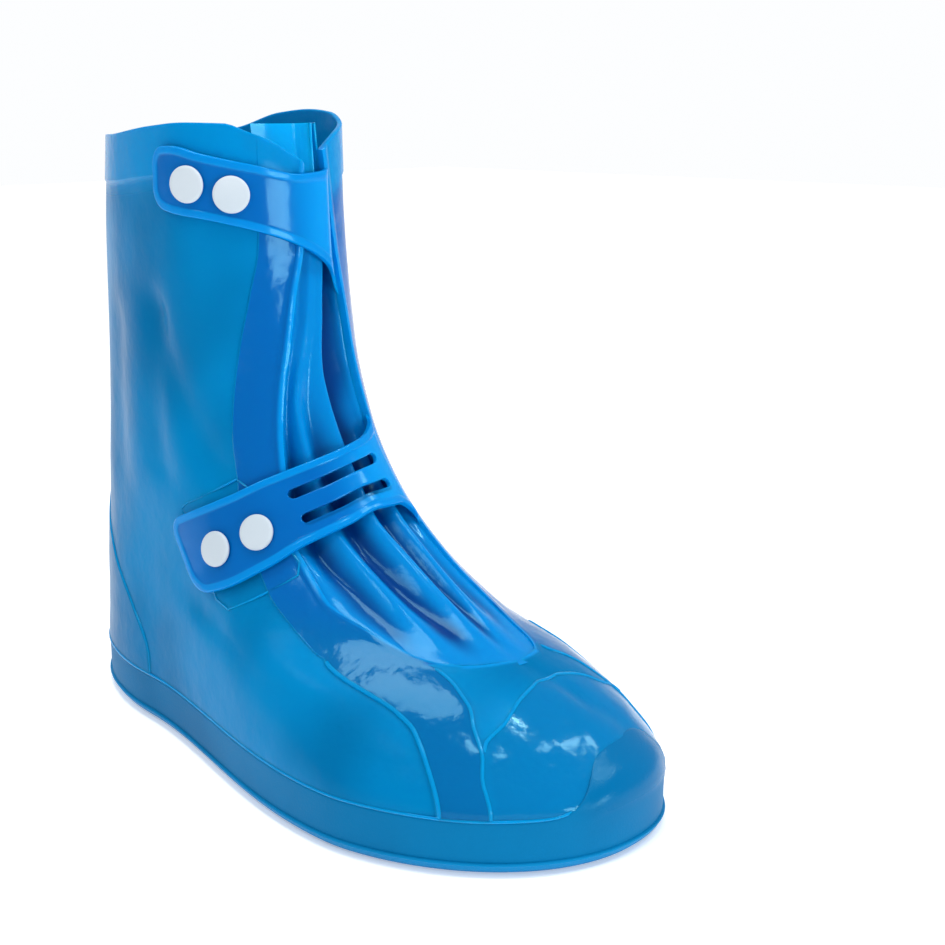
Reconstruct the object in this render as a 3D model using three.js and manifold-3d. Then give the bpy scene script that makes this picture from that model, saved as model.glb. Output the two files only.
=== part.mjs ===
// A waterproof shoe cover of moulded PVC, for a right foot: an ankle boot that is pulled over a shoe.
// Millimetres, +Z up. The toe points along -Y and the wearer's outer side is -X.
// The origin is under the middle of the sole.

import * as THREE from "three";
import { mergeVertices } from "three/addons/utils/BufferGeometryUtils.js";
import Module from "manifold-3d";

const wasm = await Module();
wasm.setup();

// Driving dimensions
const SOLE_THICKNESS = 5;
const FORM_SHIFT = { x: 2.3, y: 2.1 };
const WELT_REACH = 1.2;
const FOXING_WALL = 1.7;
const FOXING_PROUD = 0.5;
const FOXING_HEIGHT = 21;
const BUMPER = { height: 38, turn: 185, halfWidth: 18 };
const UPPER_WALL = 1.5;
const PLEAT_WALL = 1.2;
const STRAP_WALL = 1.8;
const BAND_RELIEF = 0.8;
const HEM = { height: 19, relief: 0.6 };
const COUNTER_RELIEF = 0.6;
const SEAT_GAP = 0.3;
const LAP_GAP = 0.6;
const STRAP_GAP = 0.5;
const SNAP = { capRadius: 7.1, capHeight: 1.9, stemRadius: 2.4, flangeRadius: 5, flangeHeight: 1.2 };
const MM_PER_DEGREE = 1.25;

// Horizontal sections of the boot. heel and fore are half widths, backEnd and toeEnd the share of
// the length that each rounded end takes, backPower and toePower how full that end is: 0.5 is an
// ellipse and 1 a wedge. lean moves the toe inwards and bow moves the waist outwards.
// back and toe are the ends in y.
const SECTION_COLUMNS = [
  "z", "back", "toe", "heel", "fore", "backEnd", "toeEnd", "backPower", "toePower", "lean", "bow",
];
const SECTIONS = [
  [0, 143, -147, 35, 58, 0.24, 0.28, 0.5, 0.46, 12, 9],
  [6, 147, -152, 38, 62, 0.24, 0.28, 0.5, 0.46, 12, 9],
  [22, 147, -152, 38, 62, 0.24, 0.28, 0.5, 0.46, 12, 9],
  [38, 145, -139, 38, 60, 0.24, 0.31, 0.52, 0.48, 12, 8],
  [52, 144, -117, 38, 57, 0.25, 0.37, 0.54, 0.5, 11, 6],
  [66, 144, -83, 38, 50, 0.28, 0.45, 0.58, 0.52, 10, 4],
  [84, 145, -52, 38, 47, 0.34, 0.5, 0.64, 0.52, 8, 2],
  [108, 146, -24, 39, 45, 0.44, 0.46, 0.7, 0.5, 5, 1],
  [135, 148, -6, 40, 44, 0.56, 0.4, 0.78, 0.5, 3, 0],
  [165, 149, 3, 41, 42, 0.66, 0.34, 0.84, 0.5, 1, 0],
  [205, 148, 9, 42, 41, 0.72, 0.28, 0.88, 0.5, 0, 0],
  [248, 143.5, 11, 41, 40, 0.74, 0.26, 0.9, 0.5, 0, 0],
].map((row) => Object.fromEntries(SECTION_COLUMNS.map((column, i) => [column, row[i]])));

// turn is a place round the boot in degrees: 0 at the back, 90 at the middle of the outer side,
// 180 at the front and 270 at the middle of the inner side.
const RIM = [
  { turn: 0, z: 247.5 },
  { turn: 72, z: 249 },
  { turn: 111, z: 253 },
  { turn: 130, z: 254.3 },
  { turn: 147, z: 254 },
  { turn: 156, z: 251 },
  { turn: 165, z: 247.3 },
  { turn: 174, z: 242 },
  { turn: 181, z: 238 },
  { turn: 189, z: 243 },
  { turn: 196, z: 247 },
  { turn: 206, z: 251 },
  { turn: 222, z: 254.5 },
  { turn: 236, z: 258 },
  { turn: 249, z: 259 },
  { turn: 265, z: 257.5 },
  { turn: 288, z: 250.5 },
  { turn: 360, z: 247.5 },
];

// The front opening, closed by the pleats: its edges in degrees either side of the front centre,
// and the outer edges of the glossy band that frames it.
const OPENING_FOOT = 59.5;
const OPENING = [
  { z: 0, outer: 0, inner: 0, bandOuter: 42, bandInner: 40 },
  { z: 45, outer: 0, inner: 0, bandOuter: 42, bandInner: 40 },
  { z: 50, outer: 0, inner: 0, bandOuter: 44, bandInner: 39 },
  { z: 59.5, outer: 0, inner: 0, bandOuter: 54, bandInner: 38 },
  { z: 59.9, outer: 22, inner: 9, bandOuter: 54, bandInner: 38 },
  { z: 60.7, outer: 28, inner: 12, bandOuter: 55, bandInner: 38 },
  { z: 62, outer: 32, inner: 14.5, bandOuter: 56, bandInner: 38 },
  { z: 67, outer: 38, inner: 18, bandOuter: 58, bandInner: 38 },
  { z: 76, outer: 45, inner: 21, bandOuter: 60, bandInner: 38.5 },
  { z: 92, outer: 44, inner: 22, bandOuter: 58, bandInner: 39 },
  { z: 122, outer: 32, inner: 22.5, bandOuter: 50, bandInner: 39 },
  { z: 146, outer: 24, inner: 22, bandOuter: 43, bandInner: 39 },
  { z: 170, outer: 15, inner: 20.5, bandOuter: 35, bandInner: 37 },
  { z: 188, outer: 9, inner: 18.5, bandOuter: 28, bandInner: 34 },
  { z: 207, outer: 3, inner: 15, bandOuter: 22, bandInner: 31 },
  { z: 228, outer: 1.2, inner: 12, bandOuter: 20.5, bandInner: 29 },
  { z: 260, outer: 0.3, inner: 8, bandOuter: 20, bandInner: 27 },
];

// The heel counter's edge: its half angle round the back at each height.
const COUNTER_TOP = 95;
const COUNTER = [
  { z: 0, half: 61 },
  { z: 30, half: 61 },
  { z: 50, half: 56 },
  { z: 70, half: 48 },
  { z: 95, half: 30 },
  { z: 260, half: 30 },
];

// Depth of the pleats behind the band: wide ones fill the shaft, and each splits in two below.
const PLEATS = [
  { z: 59, wide: 0, narrow: 0 },
  { z: 66, wide: 0, narrow: 2 },
  { z: 84, wide: 0, narrow: 6 },
  { z: 108, wide: 0, narrow: 8 },
  { z: 132, wide: 5, narrow: 7 },
  { z: 152, wide: 13, narrow: 2 },
  { z: 180, wide: 17, narrow: 0 },
  { z: 215, wide: 22, narrow: 0 },
  { z: 260, wide: 26, narrow: 0 },
];

// Soft dents of the side panels, each a valley from one place to another, in millimetres.
const DENTS = [
  { turnA: 104, zA: 182, turnB: 96, zB: 118, depth: 2.2, width: 9 },
  { turnA: 106, zA: 178, turnB: 122, zB: 122, depth: 2.4, width: 9 },
  { turnA: 72, zA: 170, turnB: 66, zB: 110, depth: 1.6, width: 12 },
  { turnA: 92, zA: 62, turnB: 118, zB: 44, depth: 1.6, width: 9 },
  { turnA: 256, zA: 180, turnB: 264, zB: 118, depth: 2.2, width: 10 },
  { turnA: 252, zA: 170, turnB: 238, zB: 120, depth: 2.0, width: 9 },
];

// Straps, from their free end on the outer side to their root on the inner band.
const TOP_STRAP = [
  { turn: 115, low: 223, high: 245 },
  { turn: 125, low: 220, high: 245.6 },
  { turn: 138, low: 218, high: 242.7 },
  { turn: 157, low: 213.5, high: 238.7 },
  { turn: 177, low: 206, high: 234.8 },
  { turn: 188, low: 199, high: 235.5 },
  { turn: 196, low: 189, high: 237.5 },
  { turn: 207, low: 176, high: 239 },
];
const ANKLE_STRAP = [
  { turn: 95.5, low: 69.5, high: 96 },
  { turn: 108, low: 75.5, high: 102.5 },
  { turn: 123, low: 84.5, high: 110 },
  { turn: 140, low: 94, high: 118 },
  { turn: 159, low: 100.5, high: 124 },
  { turn: 177, low: 104.5, high: 128 },
  { turn: 190, low: 104, high: 130.5 },
  { turn: 199, low: 98.5, high: 134.5 },
  { turn: 206, low: 92, high: 139 },
  { turn: 213, low: 87, high: 142 },
];
const STRAP_CORNER = 7;
// The two slots run from one turn to another. The rest are shares: half and rows of the strap's
// width, round of its length, and endOpen of the slot's width, which is open at its very ends.
const SLOT = { from: 144, to: 190, half: 0.07, rows: [0.29, 0.66], round: 0.02, endOpen: 0.3 };
const SNAPS = [
  { name: "top_snap_rear", strap: "top", turn: 132.4, across: 0.49 },
  { name: "top_snap_front", strap: "top", turn: 148.8, across: 0.48 },
  { name: "ankle_snap_rear", strap: "ankle", turn: 111.2, across: 0.45 },
  { name: "ankle_snap_front", strap: "ankle", turn: 127.4, across: 0.41 },
];

// Where the heel's half width turns into the forefoot's, and where the toe starts to lean inwards,
// as shares of the way from back to toe.
const WIDENING = { start: 0.26, span: 0.5 };
const LEAN_START = 0.35;

// How far each relief takes to rise at its edge: degrees for band and counter, else millimetres.
const RISE = { band: 2, hem: 2, counter: 3, counterTop: 3, foxing: 3 };

const PVC = { roughness: 0.25, metalness: 0 };
const MATERIALS = {
  sole: new THREE.MeshStandardMaterial({ color: 0x0a6fb4, ...PVC, roughness: 0.7 }),
  panel: new THREE.MeshStandardMaterial({ color: 0x0073b9, ...PVC }),
  pleat: new THREE.MeshStandardMaterial({ color: 0x0080d0, ...PVC }),
  strap: new THREE.MeshStandardMaterial({ color: 0x0068cc, ...PVC }),
  snap: new THREE.MeshStandardMaterial({ color: 0xd6e0e8, roughness: 0.6, metalness: 0 }),
};

const radians = THREE.MathUtils.degToRad;
const { clamp, lerp } = THREE.MathUtils;
const smooth = (x) => clamp(x, 0, 1) ** 2 * (3 - 2 * clamp(x, 0, 1));

// A column of a table as a smooth function of its first column, with no overshoot.
function curve(table, key, column) {
  const x = table.map((row) => row[key]);
  const y = table.map((row) => row[column]);
  const slope = x.slice(1).map((end, i) => (y[i + 1] - y[i]) / (end - x[i]));
  const tangent = x.map((_, i) => {
    if (i === 0) return slope[0];
    if (i === slope.length) return slope[i - 1];
    const product = slope[i - 1] * slope[i];
    return product <= 0 ? 0 : (2 * product) / (slope[i - 1] + slope[i]);
  });
  return (at) => {
    const value = clamp(at, x[0], x[x.length - 1]);
    const i = clamp(x.findIndex((end) => end > value) - 1, -2, slope.length - 1);
    const k = i < 0 ? slope.length - 1 : i;
    const h = x[k + 1] - x[k];
    const u = (value - x[k]) / h;
    const rise = u * u * (3 - 2 * u);
    const start = u * (1 - u) * (1 - u);
    const finish = u * u * (u - 1);
    return y[k] * (1 - rise) + y[k + 1] * rise + h * (tangent[k] * start + tangent[k + 1] * finish);
  };
}

const curves = (table, key) =>
  Object.fromEntries(
    Object.keys(table[0]).filter((c) => c !== key).map((c) => [c, curve(table, key, c)]),
  );

const section = curves(SECTIONS, "z");
const rim = curve(RIM, "turn", "z");
const opening = curves(OPENING, "z");
const counterHalf = curve(COUNTER, "z", "half");
const pleats = curves(PLEATS, "z");

// The boot's smooth outer form: the point at a height and a turn.
function formPoint(z, turn) {
  const along = (1 - Math.cos(radians(turn))) / 2;
  const half = lerp(section.heel(z), section.fore(z), smooth((along - WIDENING.start) / WIDENING.span));
  const fromBack = clamp(along / section.backEnd(z), 0, 1);
  const fromToe = clamp((1 - along) / section.toeEnd(z), 0, 1);
  const ends =
    (1 - (1 - fromBack) ** 2) ** section.backPower(z) * (1 - (1 - fromToe) ** 2) ** section.toePower(z);
  const lean = section.lean(z) * clamp((along - LEAN_START) / (1 - LEAN_START), 0, 1) ** 2;
  const centre = lean - section.bow(z) * Math.sin(Math.PI * along);
  const side = ((turn % 360) + 360) % 360 < 180 ? -1 : 1;
  return new THREE.Vector3(
    centre + side * half * ends + FORM_SHIFT.x,
    lerp(section.back(z), section.toe(z), along) + FORM_SHIFT.y,
    z,
  );
}

// The form's outward normal, from neighbours at a small step of turn, in degrees, and of height.
const NORMAL_STEP = { turn: 0.8, z: 1 };

function formNormal(z, turn) {
  const round = formPoint(z, turn + NORMAL_STEP.turn).sub(formPoint(z, turn - NORMAL_STEP.turn));
  const top = SECTIONS[SECTIONS.length - 1].z;
  const higher = formPoint(Math.min(z + NORMAL_STEP.z, top), turn);
  const up = higher.sub(formPoint(Math.min(z, top) - NORMAL_STEP.z, turn));
  return round.cross(up).normalize();
}

const offset = (z, turn, distance) => formPoint(z, turn).addScaledVector(formNormal(z, turn), distance);

// The foxing's top edge, which rises to a bumper over the toe.
function foxingTop(turn) {
  const away = (turn - BUMPER.turn) / BUMPER.halfWidth;
  return FOXING_HEIGHT + (BUMPER.height - FOXING_HEIGHT) * Math.exp(-(away ** 4));
}

// How far a place on the side panels is pressed in.
function dent(z, turn) {
  return DENTS.reduce((sum, d) => {
    const line = new THREE.Vector2((d.turnB - d.turnA) * MM_PER_DEGREE, d.zB - d.zA);
    const place = new THREE.Vector2((turn - d.turnA) * MM_PER_DEGREE, z - d.zA);
    const share = clamp(place.dot(line) / line.lengthSq(), 0, 1);
    const distance = place.sub(line.multiplyScalar(share)).length();
    return sum - d.depth * Math.exp(-((distance / d.width) ** 2));
  }, 0);
}

// What the upper stands proud of the form: the front band, the hem and the heel counter. Behind the
// foxing it is set back.
function relief(z, turn) {
  const fromFront = Math.abs(180 - turn);
  const band = turn < 180 ? opening.bandOuter(z) : opening.bandInner(z);
  const onBand = smooth((band - fromFront) / RISE.band + 1);
  const onHem = smooth((z - (rim(turn) - HEM.height)) / RISE.hem + 1);
  const fromBack = 180 - fromFront;
  const onCounter =
    smooth((counterHalf(z) - fromBack) / RISE.counter + 1) * smooth((COUNTER_TOP - z) / RISE.counterTop);
  const above = smooth((z - foxingTop(turn) - 1) / RISE.foxing);
  const proud = Math.max(BAND_RELIEF * onBand, HEM.relief * onHem, COUNTER_RELIEF * onCounter);
  return lerp(FOXING_PROUD - FOXING_WALL - SEAT_GAP, proud + dent(z, turn), above);
}

// A closed wall between two grids of points: cells holds the quads of indices into both, and
// every edge that only one quad has is closed by a strip.
function wall(outerPoints, innerPoints, cells) {
  const count = outerPoints.length;
  const points = [...outerPoints, ...innerPoints];
  const index = [];
  const edges = new Map();
  for (const [a, b, c, d] of cells) {
    const shortFirst = points[a].distanceTo(points[c]) < points[b].distanceTo(points[d]);
    const halves = shortFirst ? [[a, b, c], [a, c, d]] : [[a, b, d], [b, c, d]];
    for (const [p, q, r] of halves) {
      index.push(p, q, r, count + p, count + r, count + q);
      for (const [m, n] of [[p, q], [q, r], [r, p]]) edges.set(`${m},${n}`, [m, n]);
    }
  }
  for (const [m, n] of edges.values()) {
    if (!edges.has(`${n},${m}`)) index.push(n, m, count + m, n, count + m, count + n);
  }
  const geometry = new THREE.BufferGeometry().setFromPoints(points);
  geometry.setIndex(index);
  return geometry;
}

function solidOf(geometry) {
  const bare = geometry.clone();
  bare.deleteAttribute("normal");
  bare.deleteAttribute("uv");
  const merged = mergeVertices(bare, 1e-4);
  return new wasm.Manifold(
    new wasm.Mesh({
      numProp: 3,
      vertProperties: new Float32Array(merged.attributes.position.array),
      triVerts: new Uint32Array(merged.index.array),
    }),
  );
}

function geometryOf(solid) {
  const mesh = solid.getMesh();
  const geometry = new THREE.BufferGeometry();
  geometry.setAttribute("position", new THREE.BufferAttribute(mesh.vertProperties, 3));
  geometry.setIndex(new THREE.BufferAttribute(mesh.triVerts, 1));
  geometry.computeVertexNormals();
  return geometry;
}

// Columns of the upper and the foxing: even steps between the opening, the band's edge, the
// counter's edge and the back, round the outer side and then the inner side.
const BAND_STEPS = 7;
const PANEL_STEPS = 11;
const COUNTER_STEPS = 6;
const SIDE_STEPS = BAND_STEPS + PANEL_STEPS + COUNTER_STEPS;
const COLUMNS = 2 * SIDE_STEPS;

function columnTurn(column, z) {
  const outerSide = column <= SIDE_STEPS;
  const step = outerSide ? column : COLUMNS - column;
  const edge = outerSide ? opening.outer(z) : opening.inner(z);
  const band = outerSide ? opening.bandOuter(z) : opening.bandInner(z);
  const counter = 180 - counterHalf(z);
  let fromFront = lerp(edge, band, step / BAND_STEPS);
  if (step > BAND_STEPS) fromFront = lerp(band, counter, (step - BAND_STEPS) / PANEL_STEPS);
  if (step > BAND_STEPS + PANEL_STEPS) {
    fromFront = lerp(counter, 180, (step - BAND_STEPS - PANEL_STEPS) / COUNTER_STEPS);
  }
  return outerSide ? 180 - fromFront : 180 + fromFront;
}

// Rows: shares of the foxing's height, and heights above it as shares of the way to the rim.
const FOXING_ROWS = [0, 0.35, 0.7, 1];
const FOXING_ROUND = 0.4;
const OPEN_ROWS = [OPENING_FOOT, 59.9, 60.7, 62, 66, 73, 82, 94, 108, 122, 138, 155, 172, 190, 208, 224];
const LOW_ROWS = 4;
const RIM_ROWS = [0.12, 0.5, 1];
const UPPER_FOOT = SOLE_THICKNESS + SEAT_GAP;

function gridRows(column) {
  const settle = (height) => {
    let z = height(180);
    for (let i = 0; i < 3; i += 1) z = height(columnTurn(column, z));
    return z;
  };
  const rows = FOXING_ROWS.map((share) =>
    settle((turn) => lerp(UPPER_FOOT, foxingTop(turn), share)),
  );
  const foxing = rows[rows.length - 1];
  for (let i = 1; i <= LOW_ROWS; i += 1) rows.push(lerp(foxing, OPENING_FOOT, i / (LOW_ROWS + 1)));
  rows.push(...OPEN_ROWS);
  const last = OPEN_ROWS[OPEN_ROWS.length - 1];
  rows.push(...RIM_ROWS.map((share) => settle((turn) => lerp(last, rim(turn), share))));
  return rows;
}

function makeUpper() {
  const columns = Array.from({ length: COLUMNS + 1 }, (_, c) => gridRows(c));
  const rowCount = columns[0].length;
  const lastClosed = FOXING_ROWS.length + LOW_ROWS;
  const outerPoints = [];
  const innerPoints = [];
  const at = (row, column) =>
    (row <= lastClosed && column === COLUMNS ? 0 : column) + row * (COLUMNS + 1);
  for (let row = 0; row < rowCount; row += 1) {
    for (let column = 0; column <= COLUMNS; column += 1) {
      const z = columns[column][row];
      const turn = columnTurn(column, z);
      const proud = relief(z, turn);
      outerPoints.push(offset(z, turn, proud));
      innerPoints.push(offset(z, turn, Math.min(proud, 0) - UPPER_WALL));
    }
  }
  // The floor edge and the rim keep their own heights on the inside of the wall.
  for (let column = 0; column <= COLUMNS; column += 1) {
    innerPoints[column].z = UPPER_FOOT;
    outerPoints[column].z = UPPER_FOOT;
    innerPoints[(rowCount - 1) * (COLUMNS + 1) + column].z = columns[column][rowCount - 1];
  }
  const cells = [];
  for (let row = 0; row + 1 < rowCount; row += 1) {
    for (let column = 0; column < COLUMNS; column += 1) {
      cells.push([at(row, column), at(row + 1, column), at(row + 1, column + 1), at(row, column + 1)]);
    }
  }
  return { outerPoints, innerPoints, cells };
}

function makeFoxing() {
  const outerPoints = [];
  const innerPoints = [];
  const rowCount = FOXING_ROWS.length;
  const at = (row, column) => row * COLUMNS + (column % COLUMNS);
  for (let row = 0; row < rowCount; row += 1) {
    for (let column = 0; column < COLUMNS; column += 1) {
      const z = gridRows(column)[row];
      const turn = columnTurn(column, z);
      const proud = row === rowCount - 1 ? FOXING_PROUD - FOXING_ROUND : FOXING_PROUD;
      outerPoints.push(offset(z, turn, proud));
      innerPoints.push(offset(z, turn, FOXING_PROUD - FOXING_WALL));
      if (row === 0) {
        outerPoints[column].z = UPPER_FOOT;
        innerPoints[column].z = UPPER_FOOT;
      }
    }
  }
  const cells = [];
  for (let row = 0; row + 1 < rowCount; row += 1) {
    for (let column = 0; column < COLUMNS; column += 1) {
      cells.push([at(row, column), at(row + 1, column), at(row + 1, column + 1), at(row, column + 1)]);
    }
  }
  return wall(outerPoints, innerPoints, cells);
}

// The outsole: a flat plate with a rounded lower edge, whose rim is the welt. Its last ring is the
// border of the inside floor, just clear of the upper's wall.
const SOLE_RINGS = [
  { z: 0, reach: -3.6 },
  { z: 1.6, reach: -1.2 },
  { z: SOLE_THICKNESS, reach: WELT_REACH },
  { z: SOLE_THICKNESS, reach: -5.5 },
];

const SOLE_SIDE_STEPS = 24;

function makeOutsole() {
  const half = SOLE_SIDE_STEPS;
  const count = 2 * half;
  const outline = Array.from({ length: count }, (_, i) => {
    const turn = (360 * i) / count;
    const point = formPoint(UPPER_FOOT, turn);
    const ahead = formPoint(UPPER_FOOT, turn + 0.5).sub(formPoint(UPPER_FOOT, turn - 0.5));
    return { point, out: new THREE.Vector3(ahead.y, -ahead.x, 0).normalize() };
  });
  const points = SOLE_RINGS.flatMap(({ z, reach }) =>
    outline.map(({ point, out }) => point.clone().addScaledVector(out, reach).setZ(z)),
  );
  const index = [];
  const quad = (a, b, c, d) => index.push(a, b, c, a, c, d);
  for (let ring = 0; ring + 1 < SOLE_RINGS.length; ring += 1) {
    for (let i = 0; i < count; i += 1) {
      const next = (i + 1) % count;
      quad(ring * count + i, ring * count + next, (ring + 1) * count + next, (ring + 1) * count + i);
    }
  }
  const top = (SOLE_RINGS.length - 1) * count;
  for (let i = 0; i < half; i += 1) {
    const [a, b] = [i, i + 1];
    const [c, d] = [(count - i - 1) % count, (count - i) % count];
    if (i === 0) {
      index.push(a, c, b, top + a, top + b, top + c);
    } else if (i === half - 1) {
      index.push(a, d, b, top + a, top + b, top + d);
    } else {
      quad(d, c, b, a);
      quad(top + a, top + b, top + c, top + d);
    }
  }
  const geometry = new THREE.BufferGeometry().setFromPoints(points);
  geometry.setIndex(index);
  return geometry;
}

// The pleated gusset behind the front opening, lapped under the band on both sides.
const PLEAT_COLUMNS = 28;
const PLEAT_ROWS = [57, 60.5, 64, 69, 76, 84, 94, 105, 116, 128, 140, 152, 166, 182, 200, 218, 234, 252];
const LAP_DEGREES = 4.5;
// The share of the panel's width that lies flat at each side, and how far its foot starts above
// the opening's.
const LAP_SHARE = 0.12;
const FOOT_RISE = 0.8;
// The most that the back of the panel lies behind its front, measured along the pleats' depth.
const PLEAT_BACK = 4.5;

function pleatPoint(z, share, behind) {
  const foot = Math.max(z, OPENING_FOOT + FOOT_RISE);
  const outerTurn = 180 - opening.outer(foot) - LAP_DEGREES;
  const innerTurn = 180 + opening.inner(foot) + LAP_DEGREES;
  const turn = lerp(outerTurn, innerTurn, share);
  const across = clamp((share - LAP_SHARE) / (1 - 2 * LAP_SHARE), 0, 1) * 2 - 1;
  const wide = Math.sin(Math.PI * across) ** 2;
  const narrow = Math.sin(2 * Math.PI * across) ** 2;
  const depth = pleats.wide(z) * wide + pleats.narrow(z) * narrow;
  const steep =
    Math.abs(pleats.wide(z) * Math.sin(2 * Math.PI * across) * Math.PI) +
    Math.abs(2 * pleats.narrow(z) * Math.sin(4 * Math.PI * across) * Math.PI);
  const reach = formPoint(z, outerTurn).distanceTo(formPoint(z, innerTurn)) / 2;
  const back = behind ? Math.min(PLEAT_WALL * Math.hypot(1, steep / reach), PLEAT_BACK) : 0;
  const inward = formNormal(z, 180).negate();
  return offset(z, turn, -UPPER_WALL - LAP_GAP - SEAT_GAP).addScaledVector(inward, depth + back);
}

function makeGusset() {
  const outerPoints = [];
  const innerPoints = [];
  const at = (row, column) => row * (PLEAT_COLUMNS + 1) + column;
  for (const z of PLEAT_ROWS) {
    for (let column = 0; column <= PLEAT_COLUMNS; column += 1) {
      outerPoints.push(pleatPoint(z, column / PLEAT_COLUMNS, false));
      innerPoints.push(pleatPoint(z, column / PLEAT_COLUMNS, true));
    }
  }
  const cells = [];
  for (let row = 0; row + 1 < PLEAT_ROWS.length; row += 1) {
    for (let column = 0; column < PLEAT_COLUMNS; column += 1) {
      cells.push([at(row, column), at(row, column + 1), at(row + 1, column + 1), at(row + 1, column)]);
    }
  }
  return wall(outerPoints, innerPoints, cells);
}

// A strap lies on the upper. share runs from its free end to its root and across from its low
// edge to its high one; the corners of the free end are rounded.
function strapPlace(table, share, across) {
  const low = curve(table, "turn", "low");
  const high = curve(table, "turn", "high");
  const first = table[0].turn;
  const last = table[table.length - 1].turn;
  const turn = lerp(first, last, share);
  const fromEnd = (turn - first) * MM_PER_DEGREE;
  const inset =
    fromEnd < STRAP_CORNER ? STRAP_CORNER - Math.sqrt(STRAP_CORNER ** 2 - (STRAP_CORNER - fromEnd) ** 2) : 0;
  return { turn, z: lerp(low(turn) + inset, high(turn) - inset, across) };
}

const STRAP_LIFT = BAND_RELIEF + STRAP_GAP;
// Past this share of its length a strap thins out towards its root, from outside and from below.
const ROOT = { share: 0.88, thinned: 0.5, lifted: 0.3 };

function makeStrap(table, shares, acrosses, isHole) {
  const outerPoints = [];
  const innerPoints = [];
  const at = (row, column) => row * shares.length + column;
  acrosses.forEach((across) =>
    shares.forEach((share) => {
      const { turn, z } = strapPlace(table, share, typeof across === "function" ? across(share) : across);
      const root = smooth((share - ROOT.share) / (1 - ROOT.share));
      outerPoints.push(offset(z, turn, STRAP_LIFT + STRAP_WALL * (1 - ROOT.thinned * root)));
      innerPoints.push(offset(z, turn, STRAP_LIFT + ROOT.lifted * root));
    }),
  );
  const cells = [];
  for (let row = 0; row + 1 < acrosses.length; row += 1) {
    for (let column = 0; column + 1 < shares.length; column += 1) {
      if (isHole(row, column)) continue;
      cells.push([at(row, column), at(row, column + 1), at(row + 1, column + 1), at(row + 1, column)]);
    }
  }
  return wall(outerPoints, innerPoints, cells);
}

const evenShares = (count) => Array.from({ length: count + 1 }, (_, i) => i / count);

// Both straps have more columns at the rounded corners of their free end.
function topStrap() {
  const shares = [0, 0.008, 0.025, 0.05, ...evenShares(26).filter((share) => share > 0.06)];
  return makeStrap(TOP_STRAP, shares, [0, 0.35, 0.65, 1], () => false);
}

function ankleStrap() {
  const first = ANKLE_STRAP[0].turn;
  const span = ANKLE_STRAP[ANKLE_STRAP.length - 1].turn - first;
  const [from, to] = [(SLOT.from - first) / span, (SLOT.to - first) / span];
  const { round, endOpen } = SLOT;
  const middle = evenShares(12).map((share) => lerp(from + round, to - round, share));
  const shares = [
    0, 0.007, 0.02, 0.04, 0.08, 0.14, 0.2, 0.26, 0.32,
    from, from + round / 4, ...middle, to - round / 4, to,
    to + 0.04, to + 0.1, to + 0.17, 1,
  ];
  const opened = (share) => {
    const into = Math.min(share - from, to - share) / round;
    return lerp(endOpen, 1, Math.sqrt(1 - (1 - clamp(into, 0, 1)) ** 2));
  };
  const [low, high] = SLOT.rows;
  const edge = (centre, side) => (share) => centre + side * SLOT.half * opened(share);
  const acrosses = [0, 0.14, edge(low, -1), edge(low, 1), edge(high, -1), edge(high, 1), 0.86, 1];
  const [start, end] = [shares.indexOf(from), shares.indexOf(to)];
  return makeStrap(
    ANKLE_STRAP,
    shares,
    acrosses,
    (row, column) => (row === 2 || row === 4) && column >= start && column < end,
  );
}

// The frame of a snap: its centre on the strap's outer face and the way it points.
function snapFrame(snap) {
  const table = snap.strap === "top" ? TOP_STRAP : ANKLE_STRAP;
  const share = (snap.turn - table[0].turn) / (table[table.length - 1].turn - table[0].turn);
  const { turn, z } = strapPlace(table, share, snap.across);
  const normal = formNormal(z, turn);
  const turnedUp = new THREE.Quaternion().setFromUnitVectors(new THREE.Vector3(0, 1, 0), normal);
  return { foot: offset(z, turn, 0), normal, turnedUp };
}

function lathe(profile, segments, frame, height) {
  const points = profile.map(([radius, y]) => new THREE.Vector2(radius, y));
  const geometry = mergeClosed(new THREE.LatheGeometry(points, segments));
  const place = frame.foot.clone().addScaledVector(frame.normal, height);
  return geometry.applyQuaternion(frame.turnedUp).translate(place.x, place.y, place.z);
}

// Welds a lathe's seam and poles, and drops the triangles that collapse at the axis.
function mergeClosed(geometry) {
  geometry.deleteAttribute("normal");
  geometry.deleteAttribute("uv");
  const merged = mergeVertices(geometry, 1e-4);
  const kept = [];
  const source = merged.index.array;
  for (let i = 0; i < source.length; i += 3) {
    const [a, b, c] = [source[i], source[i + 1], source[i + 2]];
    if (a !== b && b !== c && a !== c) kept.push(a, b, c);
  }
  merged.setIndex(kept);
  return merged;
}

const CAP_GAP = 0.5;
const HOLE_PLAY = 0.4;
const FLANGE_GAP = 0.9;
const CAP_HEIGHT = STRAP_LIFT + STRAP_WALL + CAP_GAP;
const HOLE = { radius: SNAP.stemRadius + HOLE_PLAY, from: -6, to: 8 };
const FLANGE_TOP = -UPPER_WALL - FLANGE_GAP;
const SEGMENTS = { cap: 20, post: 10, hole: 12 };

// The cap: a flat disc with rounded edges and a slightly domed face.
function snapCap(frame) {
  const { capRadius: r, capHeight: h } = SNAP;
  const profile = [
    [0, 0],
    [r - 0.5, 0],
    [r, 0.5],
    [r, h - 1.1],
    [r - 0.35, h - 0.45],
    [r - 1.1, h - 0.1],
    [0, h],
  ];
  return lathe(profile, SEGMENTS.cap, frame, CAP_HEIGHT);
}

// The post that holds the snap: a stem through strap and wall, with a flange inside the boot.
function snapPost(frame) {
  const stem = CAP_HEIGHT - SEAT_GAP;
  const { stemRadius, flangeRadius, flangeHeight } = SNAP;
  const profile = [
    [0, FLANGE_TOP - flangeHeight],
    [flangeRadius, FLANGE_TOP - flangeHeight],
    [flangeRadius, FLANGE_TOP],
    [stemRadius, FLANGE_TOP],
    [stemRadius, stem],
    [0, stem],
  ];
  return lathe(profile, SEGMENTS.post, frame, 0);
}

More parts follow.
